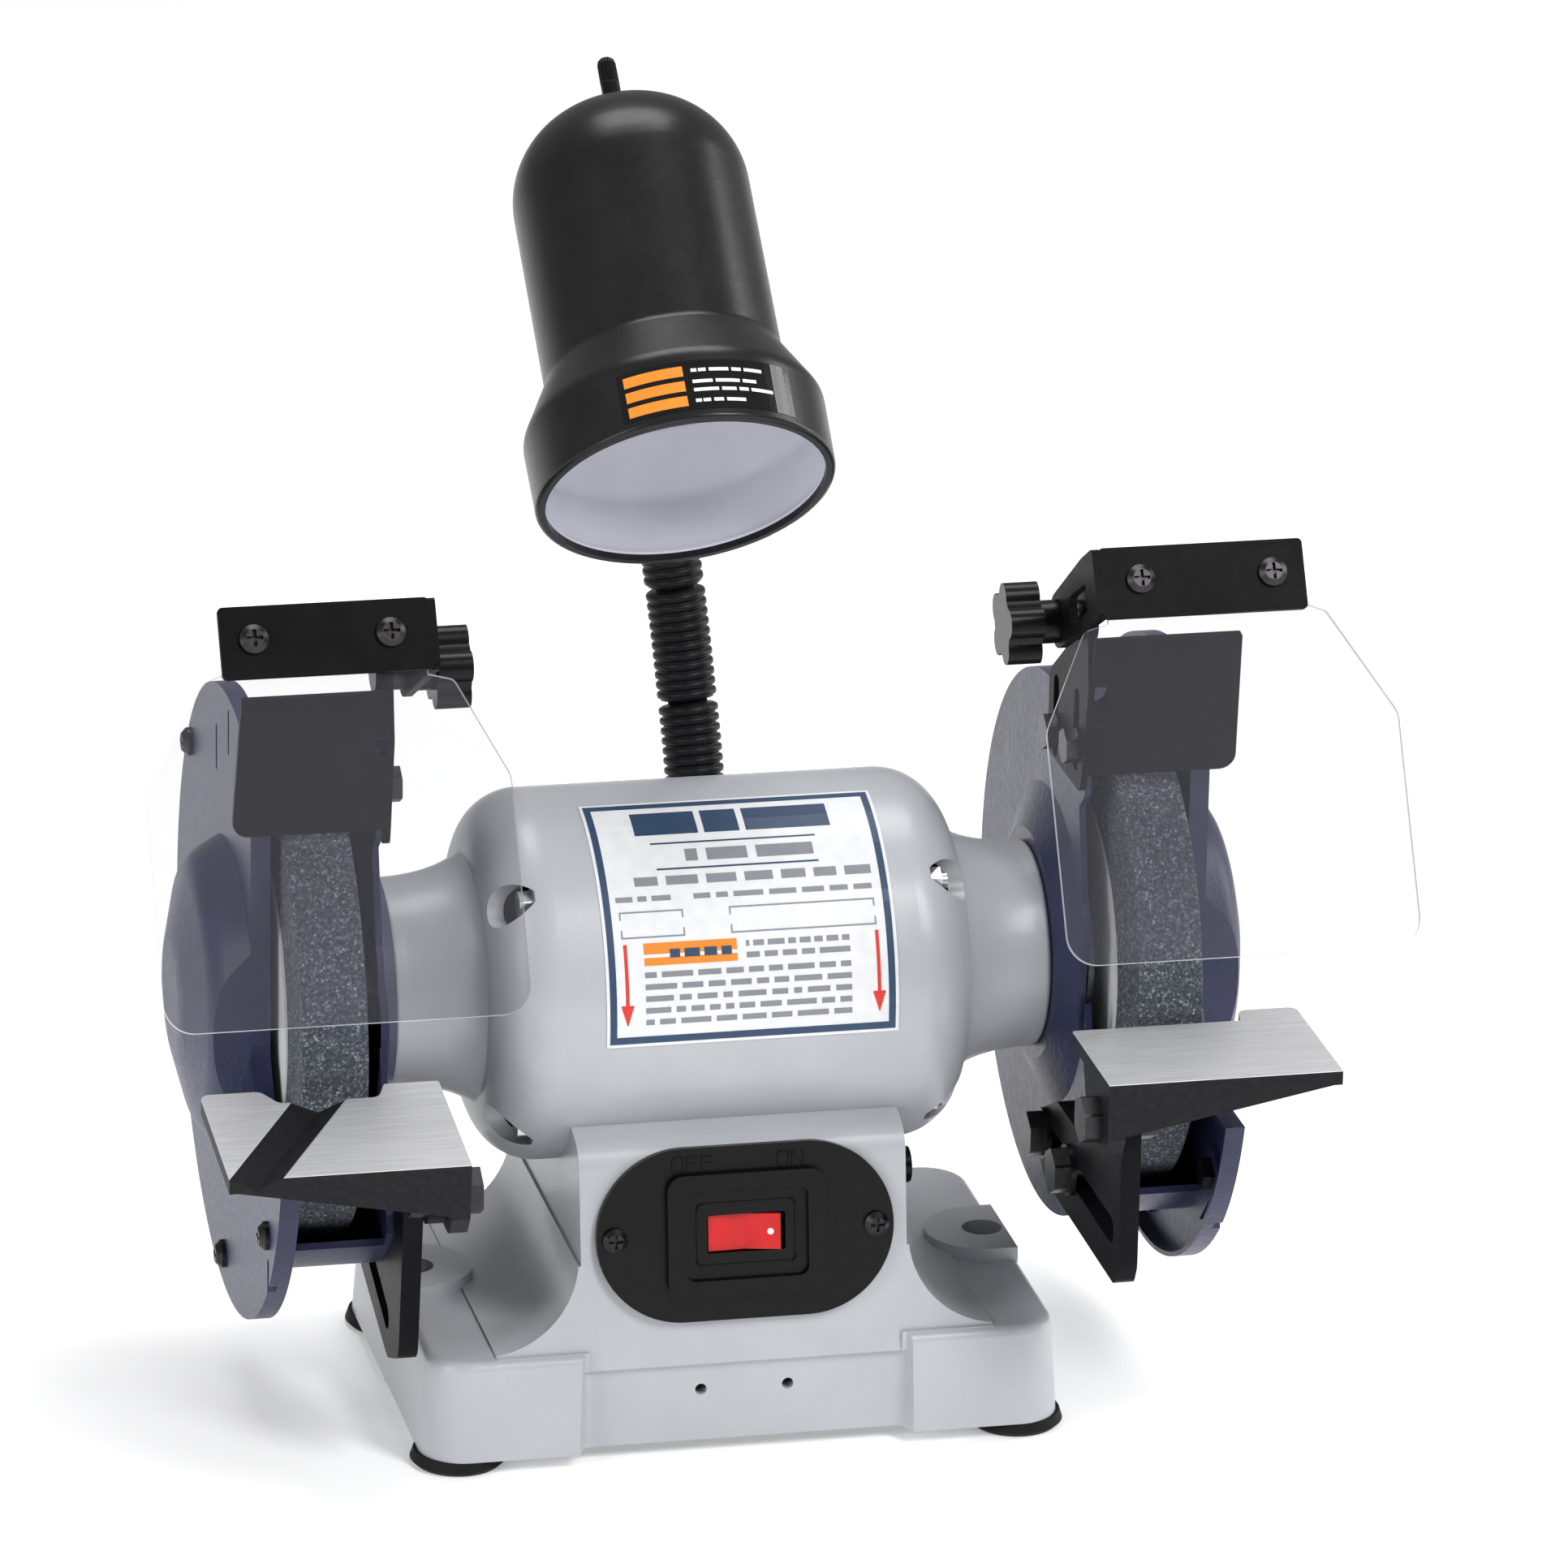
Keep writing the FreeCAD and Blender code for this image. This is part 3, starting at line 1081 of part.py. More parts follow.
def make_neck_segments():
    """Root tube and six short tubes, each with a ball on top that sits in the next one."""
    curve = neck_curve()
    frames = neck_frames(curve)
    segments = []
    below = curve.FirstParameter
    for i in range(len(frames) + 1):
        above = frames[i][0] if i < len(frames) else curve.LastParameter
        pieces = []
        start = below
        if i > 0:
            start = parameter_at_height(curve, frames[i - 1][1].z - 6.0)
        stop = above
        if i < len(frames):
            stop = parameter_at_height(curve, frames[i][1].z - 6.0 - NECK_GAP)
        body = tube_between(curve, start, stop)
        if i < len(frames):
            at, centre, along = frames[i]
            stem = Part.makeCylinder(2.6, 12.0, centre - along * 12.0, along)
            body = body.fuse(stem).fuse(Part.makeSphere(BALL_R, centre))
        if i > 0:
            at, centre, along = frames[i - 1]
            body = body.cut(Part.makeSphere(BALL_R + RUN_GAP, centre))
            body = body.cut(Part.makeCylinder(4.4, 12.0, centre - along * 12.0, along))
        segments.append(body)
        below = above
    return segments


def make_ferrule(root_tube):
    x, y, z = FERRULE_X, FERRULE_Y, WING_TOP
    skirt = cyl_z(10.9, z, z + 5.0, x, y)
    cup = cyl_z(10.6, z + 5.0, z + 20.0, x, y)
    stub = cyl_z(4.5, z - 12.0, z + 1.0, x, y)
    return fuse([skirt, cup, stub]).cut(root_tube)


def make_ferrule_nut():
    x, y, z = FERRULE_X, FERRULE_Y, WING_TOP - 5.0
    return hex_z(11.0, z - 4.0, z, x, y).cut(cyl_z(4.5, z - 9, z + 1, x, y))


def make_lamp_collar(shade):
    """Collar on the gooseneck's end with a threaded stub through the shade's side."""
    sleeve = spin_z(((0, 0), (12.0, 0), (12.0, 3.0, 1.0), (11.0, 7.0, 0), (0, 7.0)))
    stub = cyl_z(5.0, -6.5, 1.0, 0, 0)
    body = fuse([sleeve, stub])
    collar = pointing(body, lamp_direction(1, 0), lamp_point(0, NECK_ENTRY_R, NECK_ENTRY_H))
    return collar.cut(shade)


def make_lamp_nut():
    nut = hex_z(14.0, 0, 3.5, 0, 0).cut(cyl_z(5.0, -1, 5, 0, 0))
    return pointing(nut, lamp_direction(-1, 0), lamp_point(0, NECK_ENTRY_R - 2.45, NECK_ENTRY_H))


def make_label():
    outer = cyl_x(SHELL_R + 0.35, -42.0, 48.0, 0, SPINDLE_Z)
    inner = cyl_x(SHELL_R, -43.0, 49.0, 0, SPINDLE_Z)
    wedge = plate_yz(((0, SPINDLE_Z, 0), (-80, SPINDLE_Z - 5.6, 0), (-80, SPINDLE_Z + 80, 0),
                      (-14.0, SPINDLE_Z + 80, 0)), -42, 48)
    return outer.cut(inner).common(wedge)


def main():
    os.makedirs("parts", exist_ok=True)
    save_base()
    save_motor()
    save_switch()
    save_wheels()
    save_guards()
    save_shields()
    save_rests()
    save_lamp()


def save_base():
    save("base_casting", make_base_casting())
    save("bottom_cover", make_bottom_cover())
    save("rubber_feet", make_rubber_feet())
    save("base_screws", group([make_cover_screws(), make_foot_screws()]))
    save("cord_gland", make_gland())


def save_motor():
    save("motor_shell", make_motor_shell())
    bell = make_end_bell()
    save("right_end_bell", bell)
    save("left_end_bell", mirrored(bell))
    save("tie_bolts", group([make_tie_bolts(), make_tie_nuts()]))
    save("stator_core", make_stator_core())
    save("windings", make_windings())
    save("rotor", make_rotor())
    save("spindle_shaft", make_spindle())
    both_sides("bearings", [make_bearing()])
    save("run_capacitor", make_capacitor())
    save("rating_label", make_label())


def save_switch():
    save("switch_plate", make_switch_plate())
    save("switch_plate_screws", make_plate_screws())
    save("switch_housing", make_switch_housing())
    save("switch_rocker", make_rocker())


def save_wheels():
    wheel = make_wheel()
    save("right_wheel", wheel)
    save("left_wheel", mirrored(wheel))
    both_sides("wheel_blotters", make_blotters())
    both_sides("wheel_flanges", [make_inner_flange(), make_outer_flange()])
    both_sides("spindle_nuts", [make_spindle_nut()])


def save_guards():
    save("right_inner_guard", make_inner_guard(ARM_BOLTS_RIGHT))
    save("left_inner_guard", mirrored(make_inner_guard(ARM_BOLTS_LEFT)))
    cover = make_outer_cover()
    save("right_outer_cover", cover)
    save("left_outer_cover", mirrored(cover))
    both_sides("guard_screws", make_guard_screws() + make_cover_screws_right()
               + make_cover_clips())
    deflector = make_deflector()
    save("right_deflector", deflector)
    save("left_deflector", lowered(mirrored(deflector)))
    both_sides("deflector_bolts", make_deflector_bolts() + make_deflector_nuts())


def both_sides(node, pieces):
    save(node, group(list(pieces) + [mirrored(piece) for piece in pieces]))


def lowered(shape):
    moved = shape.copy()
    moved.translate(V(0, 0, -LEFT_DROP))
    return moved


def save_shields():
    top_y, top_z = shield_top()
    screws = group(make_lens_screws() + make_lens_nuts())
    tilted = {"shield_bracket": make_shield_bracket(), "eye_shield": make_lens(),
              "shield_screws": screws}
    pieces = {"shield_pivot": make_shield_pivot(), "shield_knob": make_knob()}
    for name in tilted:
        pieces[name] = shield_in_place(tilted[name], top_y, top_z, SHIELD_TILT)
    for name in pieces:
        save("right_" + name, pieces[name])
        save("left_" + name, lowered(mirrored(pieces[name])))


def save_rests():
    save("right_rest_arm", make_arm_right())
    save("left_rest_arm", mirrored(make_arm_left()))
    right_back = ((REST_IN, REST_FRONT, 0), (REST_OUT, REST_FRONT, 0),
                  (REST_OUT, REST_BACK + 8.5, 3.0), (150.5, REST_BACK + 8.5, 3.0),
                  (149.0, REST_BACK, 1.0), (REST_IN, REST_BACK, 1.0))
    right = make_tool_rest(PIVOT_RIGHT, REST_TOP_RIGHT, right_back, False)
    save("right_tool_rest", right)
    left_back = ((REST_IN, REST_FRONT, 0), (REST_OUT, REST_FRONT, 0),
                 (REST_OUT, REST_BACK + 8.0, 3.0), (150.5, REST_BACK + 8.0, 3.0),
                 (146.0, REST_BACK, 3.0), (116.0, REST_BACK, 3.0),
                 (113.0, REST_BACK + 8.0, 1.0), (REST_IN, REST_BACK + 8.0, 1.0))
    left = make_tool_rest(PIVOT_RIGHT, REST_TOP_RIGHT, left_back, True)
    left.translate(V(0, PIVOT_LEFT[0] - PIVOT_RIGHT[0], PIVOT_LEFT[1] - PIVOT_RIGHT[1]))
    left.rotate(V(0, PIVOT_LEFT[0], PIVOT_LEFT[1]), X_AXIS, LEFT_REST_TILT)
    save("left_tool_rest", mirrored(left))
    right_bolts = make_arm_bolts(ARM_BOLTS_RIGHT) + make_arm_nuts(ARM_BOLTS_RIGHT)
    left_bolts = make_arm_bolts(ARM_BOLTS_LEFT) + make_arm_nuts(ARM_BOLTS_LEFT)
    save("rest_arm_bolts", group([group(right_bolts), mirrored(group(left_bolts))]))
    right_pivot = group([make_pivot_bolt(PIVOT_RIGHT), make_pivot_nut(PIVOT_RIGHT)])
    left_pivot = group([make_pivot_bolt(PIVOT_LEFT), make_pivot_nut(PIVOT_LEFT)])
    save("right_pivot_bolt", right_pivot)
    save("left_pivot_bolt", mirrored(left_pivot))


def save_lamp():
    segments = make_neck_segments()
    save("gooseneck_ferrule", group([make_ferrule(segments[0]), make_ferrule_nut()]))
    save("gooseneck_root", segments[0])
    for i in range(1, len(segments)):
        save("gooseneck_" + str(i), segments[i])
    shade = make_lamp_shade()
    save("lamp_fittings", group([make_lamp_collar(shade), make_lamp_nut(), make_switch_nut()]))
    save("lamp_shade", shade)
    save("lamp_socket", group([make_socket(), make_socket_contact()]))
    save("lamp_switch_stem", make_switch_stem())


main()
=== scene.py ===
import json
import math
import bmesh
import bpy
from mathutils import Matrix, Vector
from mathutils.bvhtree import BVHTree


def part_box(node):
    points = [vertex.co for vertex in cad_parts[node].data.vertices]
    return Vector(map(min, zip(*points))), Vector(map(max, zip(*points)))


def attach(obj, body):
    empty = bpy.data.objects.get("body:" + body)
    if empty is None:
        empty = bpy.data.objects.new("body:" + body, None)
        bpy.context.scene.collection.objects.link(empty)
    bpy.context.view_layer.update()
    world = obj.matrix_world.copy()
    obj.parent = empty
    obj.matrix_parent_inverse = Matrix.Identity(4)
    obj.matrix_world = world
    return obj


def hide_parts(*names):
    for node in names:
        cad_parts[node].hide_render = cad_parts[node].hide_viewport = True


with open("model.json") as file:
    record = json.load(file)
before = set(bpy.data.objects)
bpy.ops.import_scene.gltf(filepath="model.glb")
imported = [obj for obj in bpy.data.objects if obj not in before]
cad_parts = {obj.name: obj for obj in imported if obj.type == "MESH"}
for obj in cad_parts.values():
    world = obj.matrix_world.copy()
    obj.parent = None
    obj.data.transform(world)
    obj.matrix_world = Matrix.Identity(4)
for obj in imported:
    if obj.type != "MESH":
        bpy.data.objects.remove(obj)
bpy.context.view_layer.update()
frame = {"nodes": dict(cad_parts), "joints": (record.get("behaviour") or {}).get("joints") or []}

# Looks of the bench grinder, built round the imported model. Lengths are metres.
# Frame: +X to the right wheel, -Y towards the operator, +Z up, bench plane at z = 0.

NODES = frame["nodes"]
MM = 0.001
PRINT_LIFT = 0.00009            # thickness of the print on the rating label

CAMERA_PLACE = (-0.6172, -2.8021, 1.2105)
CAMERA_AZIMUTH, CAMERA_ELEVATION, CAMERA_ROLL = -0.225, 0.341, 0.019     # radians
CAMERA_LENS, CAMERA_SENSOR = 229.5, 36.0                                 # millimetres

SPINDLE = Vector((0.0, 0.0, 0.134))
SHELL_R = 0.05735               # outer face of the rating label, round the spindle
SHIELD_TILT = math.radians(30.0)
LEFT_REST_TILT = math.radians(6.5)
LAMP_MOUTH = Vector((-0.010, -0.010, 0.289))
LAMP_TURN = Matrix.Rotation(math.radians(-46.6), 3, "X") @ Matrix.Rotation(math.radians(-1.3), 3, "Y")
LAMP_AXIS = LAMP_TURN @ Vector((0, 0, 1))
LAMP_CROWN = 132.5              # mm from the mouth of the shade to the top of its crown
PANEL = Vector((0.0, -0.0627, 0.0705))
PANEL_LEAN = math.radians(8.5)
NECK_BENDS = [joint for joint in frame["joints"] if joint["name"].startswith("neck_bend")]
NECK_END = Vector((0.0, 0.0433, 0.095))    # from the mouth of the shade, along its own axes


# --- camera, light and floor -----------------------------------------------------------
def make_camera():
    """Long lens from the front left and above, with the slight roll of the studio shot."""
    level = math.cos(CAMERA_ELEVATION)
    forward = -Vector((math.sin(CAMERA_AZIMUTH) * level, -math.cos(CAMERA_AZIMUTH) * level,
                       math.sin(CAMERA_ELEVATION)))
    right = forward.cross(Vector((0, 0, 1))).normalized()
    up = right.cross(forward)
    rolled_right = right * math.cos(CAMERA_ROLL) + up * math.sin(CAMERA_ROLL)
    rolled_up = up * math.cos(CAMERA_ROLL) - right * math.sin(CAMERA_ROLL)
    data = bpy.data.cameras.new("Camera")
    data.sensor_width = CAMERA_SENSOR
    data.lens = CAMERA_LENS
    data.clip_start = 0.1
    data.clip_end = 50.0
    camera = bpy.data.objects.new("Camera", data)
    bpy.context.scene.collection.objects.link(camera)
    turn = Matrix((rolled_right, rolled_up, -forward)).transposed()
    camera.matrix_world = Matrix.Translation(CAMERA_PLACE) @ turn.to_4x4()
    bpy.context.scene.camera = camera


def area_light(name, place, target, size, power):
    """White soft box at place, aimed at target."""
    data = bpy.data.lights.new(name, "AREA")
    data.shape = "RECTANGLE"
    data.size, data.size_y = size
    data.energy = power
    lamp = bpy.data.objects.new(name, data)
    bpy.context.scene.collection.objects.link(lamp)
    lamp.location = place
    aim = Vector(target) - Vector(place)
    lamp.rotation_euler = aim.to_track_quat("-Z", "Y").to_euler()


def make_studio():
    """White sweep lit by broad soft boxes, shown with plain display contrast."""
    bpy.context.scene.view_settings.view_transform = "Standard"
    world = bpy.data.worlds.new("Studio")
    bpy.context.scene.world = world
    world.use_nodes = True
    background = world.node_tree.nodes["Background"]
    background.inputs["Color"].default_value = (1.0, 1.0, 1.0, 1.0)
    background.inputs["Strength"].default_value = 0.34
    area_light("Key", (0.9, -1.4, 1.7), (0, 0, 0.15), (0.5, 1.1), 30.0)
    area_light("Fill", (-1.7, -0.9, 1.0), (0, 0, 0.15), (0.5, 1.4), 13.0)
    area_light("Top", (0.1, 0.6, 1.9), (0, 0, 0.2), (1.4, 0.8), 20.0)
    area_light("Edge", (1.7, 0.3, 0.7), (0.05, 0, 0.2), (0.5, 1.2), 11.0)
    mesh = bpy.data.meshes.new("Floor")
    form = bmesh.new()
    bmesh.ops.create_grid(form, x_segments=8, y_segments=8, size=6.0)
    form.to_mesh(mesh)
    form.free()
    floor = bpy.data.objects.new("Floor", mesh)
    bpy.context.scene.collection.objects.link(floor)
    mesh.materials.append(make_floor_material())


# --- material helpers -------------------------------------------------------------------
class Shader:
    """A Principled material with short calls for the node work that every finish shares."""

    def __init__(self, name, colour, roughness, metallic=0.0, coat=0.0, specular=0.5):
        self.material = bpy.data.materials.new(name)
        self.material.use_nodes = True
        self.tree = self.material.node_tree
        self.body = self.tree.nodes["Principled BSDF"]
        self.body.inputs["Base Color"].default_value = (*colour, 1.0)
        self.body.inputs["Roughness"].default_value = roughness
        self.body.inputs["Metallic"].default_value = metallic
        self.body.inputs["Coat Weight"].default_value = coat
        self.body.inputs["Specular IOR Level"].default_value = specular
        self.material.diffuse_color = (*colour, 1.0)
        coordinates = self.tree.nodes.new("ShaderNodeTexCoord")
        self.point = coordinates.outputs["Object"]
        self.normal = coordinates.outputs["Normal"]
        self.height = None

    def link(self, a, b):
        self.tree.links.new(a, b)

    def stretched(self, scale):
        mapping = self.tree.nodes.new("ShaderNodeMapping")
        mapping.inputs["Scale"].default_value = scale
        self.link(self.point, mapping.inputs["Vector"])
        return mapping.outputs["Vector"]

    def noise(self, scale, detail=4.0, rough=0.55, point=None):
        node = self.tree.nodes.new("ShaderNodeTexNoise")
        node.inputs["Scale"].default_value = scale
        node.inputs["Detail"].default_value = detail
        node.inputs["Roughness"].default_value = rough
        self.link(point or self.point, node.inputs["Vector"])
        return node.outputs["Fac"]

    def cells(self, scale, feature="F1", output="Distance"):
        node = self.tree.nodes.new("ShaderNodeTexVoronoi")
        node.feature = feature
        node.inputs["Scale"].default_value = scale
        self.link(self.point, node.inputs["Vector"])
        return node.outputs[output]

    def ramp(self, factor, stops):
        node = self.tree.nodes.new("ShaderNodeValToRGB")
        ramp = node.color_ramp
        while len(ramp.elements) < len(stops):
            ramp.elements.new(0.5)
        for element, (place, colour) in zip(ramp.elements, stops):
            element.position = place
            element.color = (*colour, 1.0) if len(colour) == 3 else colour
        self.link(factor, node.inputs["Fac"])
        return node.outputs["Color"]

    def span(self, factor, low, high, from_low=0.0, from_high=1.0):
        node = self.tree.nodes.new("ShaderNodeMapRange")
        node.inputs["From Min"].default_value = from_low
        node.inputs["From Max"].default_value = from_high
        node.inputs["To Min"].default_value = low
        node.inputs["To Max"].default_value = high
        self.link(factor, node.inputs["Value"])
        return node.outputs["Result"]

    def mix(self, factor, a, b):
        node = self.tree.nodes.new("ShaderNodeMix")
        node.data_type = "RGBA"
        self.link(factor, node.inputs["Factor"])
        for value, socket in ((a, node.inputs["A"]), (b, node.inputs["B"])):
            if isinstance(value, tuple):
                socket.default_value = (*value, 1.0)
            else:
                self.link(value, socket)
        return node.outputs["Result"]

    def above(self, direction, level):
        """1 where the point lies further along direction than level, else 0."""
        along = self.vector("DOT_PRODUCT", self.point, direction).outputs["Value"]
        return self.math("GREATER_THAN", along, level)

    def facing(self, direction):
        """Cosine between the surface and direction, both in the object's own space."""
        return self.vector("DOT_PRODUCT", self.normal, direction).outputs["Value"]

    def math(self, operation, a, b=0.0):
        node = self.tree.nodes.new("ShaderNodeMath")
        node.operation = operation
        for value, socket in ((a, node.inputs[0]), (b, node.inputs[1])):
            if isinstance(value, float):
                socket.default_value = value
            else:
                self.link(value, socket)
        return node.outputs[0]

    def vector(self, operation, a, b):
        node = self.tree.nodes.new("ShaderNodeVectorMath")
        node.operation = operation
        for value, socket in ((a, node.inputs[0]), (b, node.inputs[1])):
            if isinstance(value, tuple):
                socket.default_value = value
            else:
                self.link(value, socket)
        return node

    def bump(self, height, distance, strength=1.0):
        node = self.tree.nodes.new("ShaderNodeBump")
        node.inputs["Distance"].default_value = distance
        node.inputs["Strength"].default_value = strength
        self.link(height, node.inputs["Height"])
        if self.height is not None:
            self.link(self.height, node.inputs["Normal"])
        self.height = node.outputs["Normal"]
        self.link(self.height, self.body.inputs["Normal"])

    def colour(self, socket):
        self.link(socket, self.body.inputs["Base Color"])

    def roughness(self, socket):
        self.link(socket, self.body.inputs["Roughness"])


def shade(colour, factor):
    """A colour made lighter or darker by a factor."""
    return tuple(min(1.0, c * factor) for c in colour)


def make_floor_material():
    """Off-white sweep, lit a little from within so that it stays white behind the machine."""
    look = Shader("Pale floor", (0.93, 0.93, 0.93), 0.9, specular=0.05)
    look.colour(look.ramp(look.noise(3.0), ((0.3, (0.925, 0.925, 0.93)), (0.7, (0.945, 0.945, 0.945)))))
    look.body.inputs["Emission Color"].default_value = (1.0, 1.0, 1.0, 1.0)
    look.body.inputs["Emission Strength"].default_value = 0.27
    look.bump(look.noise(180.0), 0.0002, 0.2)
    return look.material


def make_cast_paint():
    """Light grey semi-gloss enamel over a casting: soft orange peel and faint mottling."""
    tone = (0.455, 0.475, 0.505)
    look = Shader("Grey enamel", tone, 0.36, coat=0.25)
    look.body.inputs["Coat Roughness"].default_value = 0.22
    look.colour(look.ramp(look.noise(38.0, 5.0), ((0.3, shade(tone, 0.955)), (0.7, shade(tone, 1.04)))))
    look.roughness(look.span(look.noise(260.0), 0.30, 0.44))
    look.bump(look.noise(700.0, 3.0), 0.00012, 0.35)
    look.bump(look.noise(55.0, 2.0), 0.0009, 0.16)
    return look.material


def make_guard_paint():
    """Dark indigo wrinkle enamel with a pebbled skin that catches the light in specks."""
    tone = (0.018, 0.021, 0.066)
    look = Shader("Indigo wrinkle enamel", tone, 0.42, coat=0.06, specular=0.4)
    look.body.inputs["Coat Roughness"].default_value = 0.2
    look.colour(look.ramp(look.noise(90.0, 4.0), ((0.35, shade(tone, 0.85)), (0.65, shade(tone, 1.2)))))
    look.roughness(look.span(look.noise(420.0), 0.30, 0.52))
    look.bump(look.cells(620.0), 0.00022, 0.35)
    look.bump(look.noise(1500.0, 2.0), 0.0001, 0.3)
    return look.material


def make_black_coat(name, tone, low, high, grain):
    """Black powder coat: fine grit, slightly greyer where it is rubbed."""
    look = Shader(name, tone, (low + high) / 2, specular=0.06)
    look.colour(look.ramp(look.noise(60.0, 6.0), ((0.35, shade(tone, 0.8)), (0.72, shade(tone, 1.5)))))
    look.roughness(look.span(look.noise(300.0), low, high))
    look.bump(look.noise(grain, 3.0), 0.00006, 0.35)
    return look.material


def make_abrasive():
    """Bonded grit: dark, mid and white grains packed close, with open pores between."""
    look = Shader("Bonded grit", (0.13, 0.145, 0.165), 0.82, specular=0.35)
    grains = look.ramp(look.cells(1450.0, output="Color"),
                       ((0.0, (0.020, 0.025, 0.033)), (0.40, (0.055, 0.066, 0.082)),
                        (0.68, (0.11, 0.127, 0.148)), (0.84, (0.25, 0.275, 0.305)),
                        (1.0, (0.52, 0.55, 0.58))))
    clouds = look.span(look.noise(45.0, 3.0), 0.0, 0.5)
    look.colour(look.mix(clouds, grains, (0.075, 0.088, 0.106)))
    look.roughness(look.span(look.noise(900.0), 0.55, 0.95))
    look.bump(look.cells(1450.0), 0.0005, 0.8)
    look.bump(look.noise(2300.0, 2.0), 0.0002, 0.5)
    return look.material


def make_rest(name, direction, level):
    """Cast tool rest: black outside, the flat top ground bright with fine scratches."""
    look = Shader(name, (0.01, 0.01, 0.011), 0.5, specular=0.2)
    scratches = look.noise(1500.0, 4.0, point=look.stretched((0.03, 1.0, 1.0)))
    bright = look.ramp(scratches, ((0.3, (0.66, 0.66, 0.68)), (0.7, (0.84, 0.84, 0.86))))
    dark = look.ramp(look.noise(500.0), ((0.35, (0.005, 0.005, 0.006)), (0.75, (0.012, 0.012, 0.014))))
    top = look.above(direction, level)
    look.colour(look.mix(top, dark, bright))
    look.roughness(look.span(top, 0.55, 0.33))
    look.link(look.span(top, 0.0, 0.55), look.body.inputs["Metallic"])
    look.bump(scratches, 0.00005, 0.5)
    look.bump(look.noise(900.0), 0.0001, 0.35)
    return look.material


def make_metal(name, tone, rough, streak=(1.0, 1.0, 1.0), scale=500.0, grain=0.00004):
    """Bare or plated metal; streak stretches its fine lines along the part."""
    look = Shader(name, tone, rough, metallic=1.0)
    lines = look.noise(scale, 4.0, point=look.stretched(streak))
    look.colour(look.ramp(lines, ((0.3, shade(tone, 0.82)), (0.7, shade(tone, 1.12)))))
    look.roughness(look.span(lines, rough - 0.08, rough + 0.1))
    look.bump(lines, grain, 0.4)
    return look.material


def make_plastic(name, tone, rough, grain, coat=0.0):
    """Moulded plastic or rubber with a fine grain, glossier with a coat."""
    look = Shader(name, tone, rough, coat=coat, specular=0.2)
    look.colour(look.ramp(look.noise(80.0), ((0.3, shade(tone, 0.85)), (0.7, shade(tone, 1.2)))))
    look.roughness(look.span(look.noise(500.0), rough - 0.06, rough + 0.08))
    look.bump(look.noise(grain, 2.0), 0.00006, 0.4)
    return look.material


def make_paper(name, tone):
    """Paper, label stock or flat ink, very slightly fibrous."""
    look = Shader(name, tone, 0.55, coat=0.1)
    look.colour(look.ramp(look.noise(220.0, 6.0), ((0.3, shade(tone, 0.93)), (0.7, shade(tone, 1.03)))))
    look.roughness(look.span(look.noise(900.0), 0.45, 0.65))
    look.bump(look.noise(1800.0), 0.00003, 0.3)
    return look.material


def make_lens():
    """Polycarbonate sheet: clear with a faint smoke face on, pale and nearly opaque along its cut edge, a
    painted highlight where the edge catches the light.
    """
    face, painted_edge_highlight = (0.10, 0.10, 0.12), (0.55, 0.57, 0.62)
    look = Shader("Clear polycarbonate", face, 0.08)
    square_on = (0.0, math.cos(SHIELD_TILT), -math.sin(SHIELD_TILT))
    # Faces turned away from the sheet's face are its cut edge; they get a painted highlight, pale and
    # nearly opaque.
    across = look.math("ABSOLUTE", look.facing(square_on))
    edge = look.math("LESS_THAN", across, 0.6)
    haze = look.span(look.noise(25.0, 3.0), 0.17, 0.20)
    look.link(look.math("MAXIMUM", look.math("MULTIPLY", edge, 0.75), haze), look.body.inputs["Alpha"])
    look.roughness(look.span(edge, 0.06, 0.30))
    look.colour(look.mix(edge, face, painted_edge_highlight))
    look.material.surface_render_method = "BLENDED"
    return look.material


def make_lamp_paint():
    """Satin black outside and white enamel inside, told apart by which way the skin faces."""
    look = Shader("Lamp enamel", (0.005, 0.0047, 0.0055), 0.30, specular=0.34)
    out = look.vector("SUBTRACT", look.point, tuple(LAMP_MOUTH)).outputs["Vector"]
    along = look.vector("DOT_PRODUCT", out, tuple(LAMP_AXIS)).outputs["Value"]
    scaled = look.tree.nodes.new("ShaderNodeVectorMath")
    scaled.operation = "SCALE"
    scaled.inputs[0].default_value = tuple(LAMP_AXIS)
    look.link(along, scaled.inputs["Scale"])
    radial = look.vector("SUBTRACT", out, scaled.outputs["Vector"]).outputs["Vector"]
    outward = look.vector("DOT_PRODUCT", radial, look.normal).outputs["Value"]
    inside = look.math("MULTIPLY", look.math("LESS_THAN", outward, -0.002),
                       look.math("GREATER_THAN", along, 0.0022))
    black = look.ramp(look.noise(60.0, 6.0),
                      ((0.35, (0.006, 0.0056, 0.0064)), (0.72, (0.010, 0.0094, 0.0106))))
    white = look.ramp(look.noise(50.0), ((0.3, (0.78, 0.79, 0.87)), (0.7, (0.83, 0.84, 0.91))))
    look.colour(look.mix(inside, black, white))
    look.roughness(look.span(look.noise(300.0), 0.26, 0.36))
    look.bump(look.noise(900.0, 3.0), 0.00008, 0.35)
    return look.material


FINISHES = {}


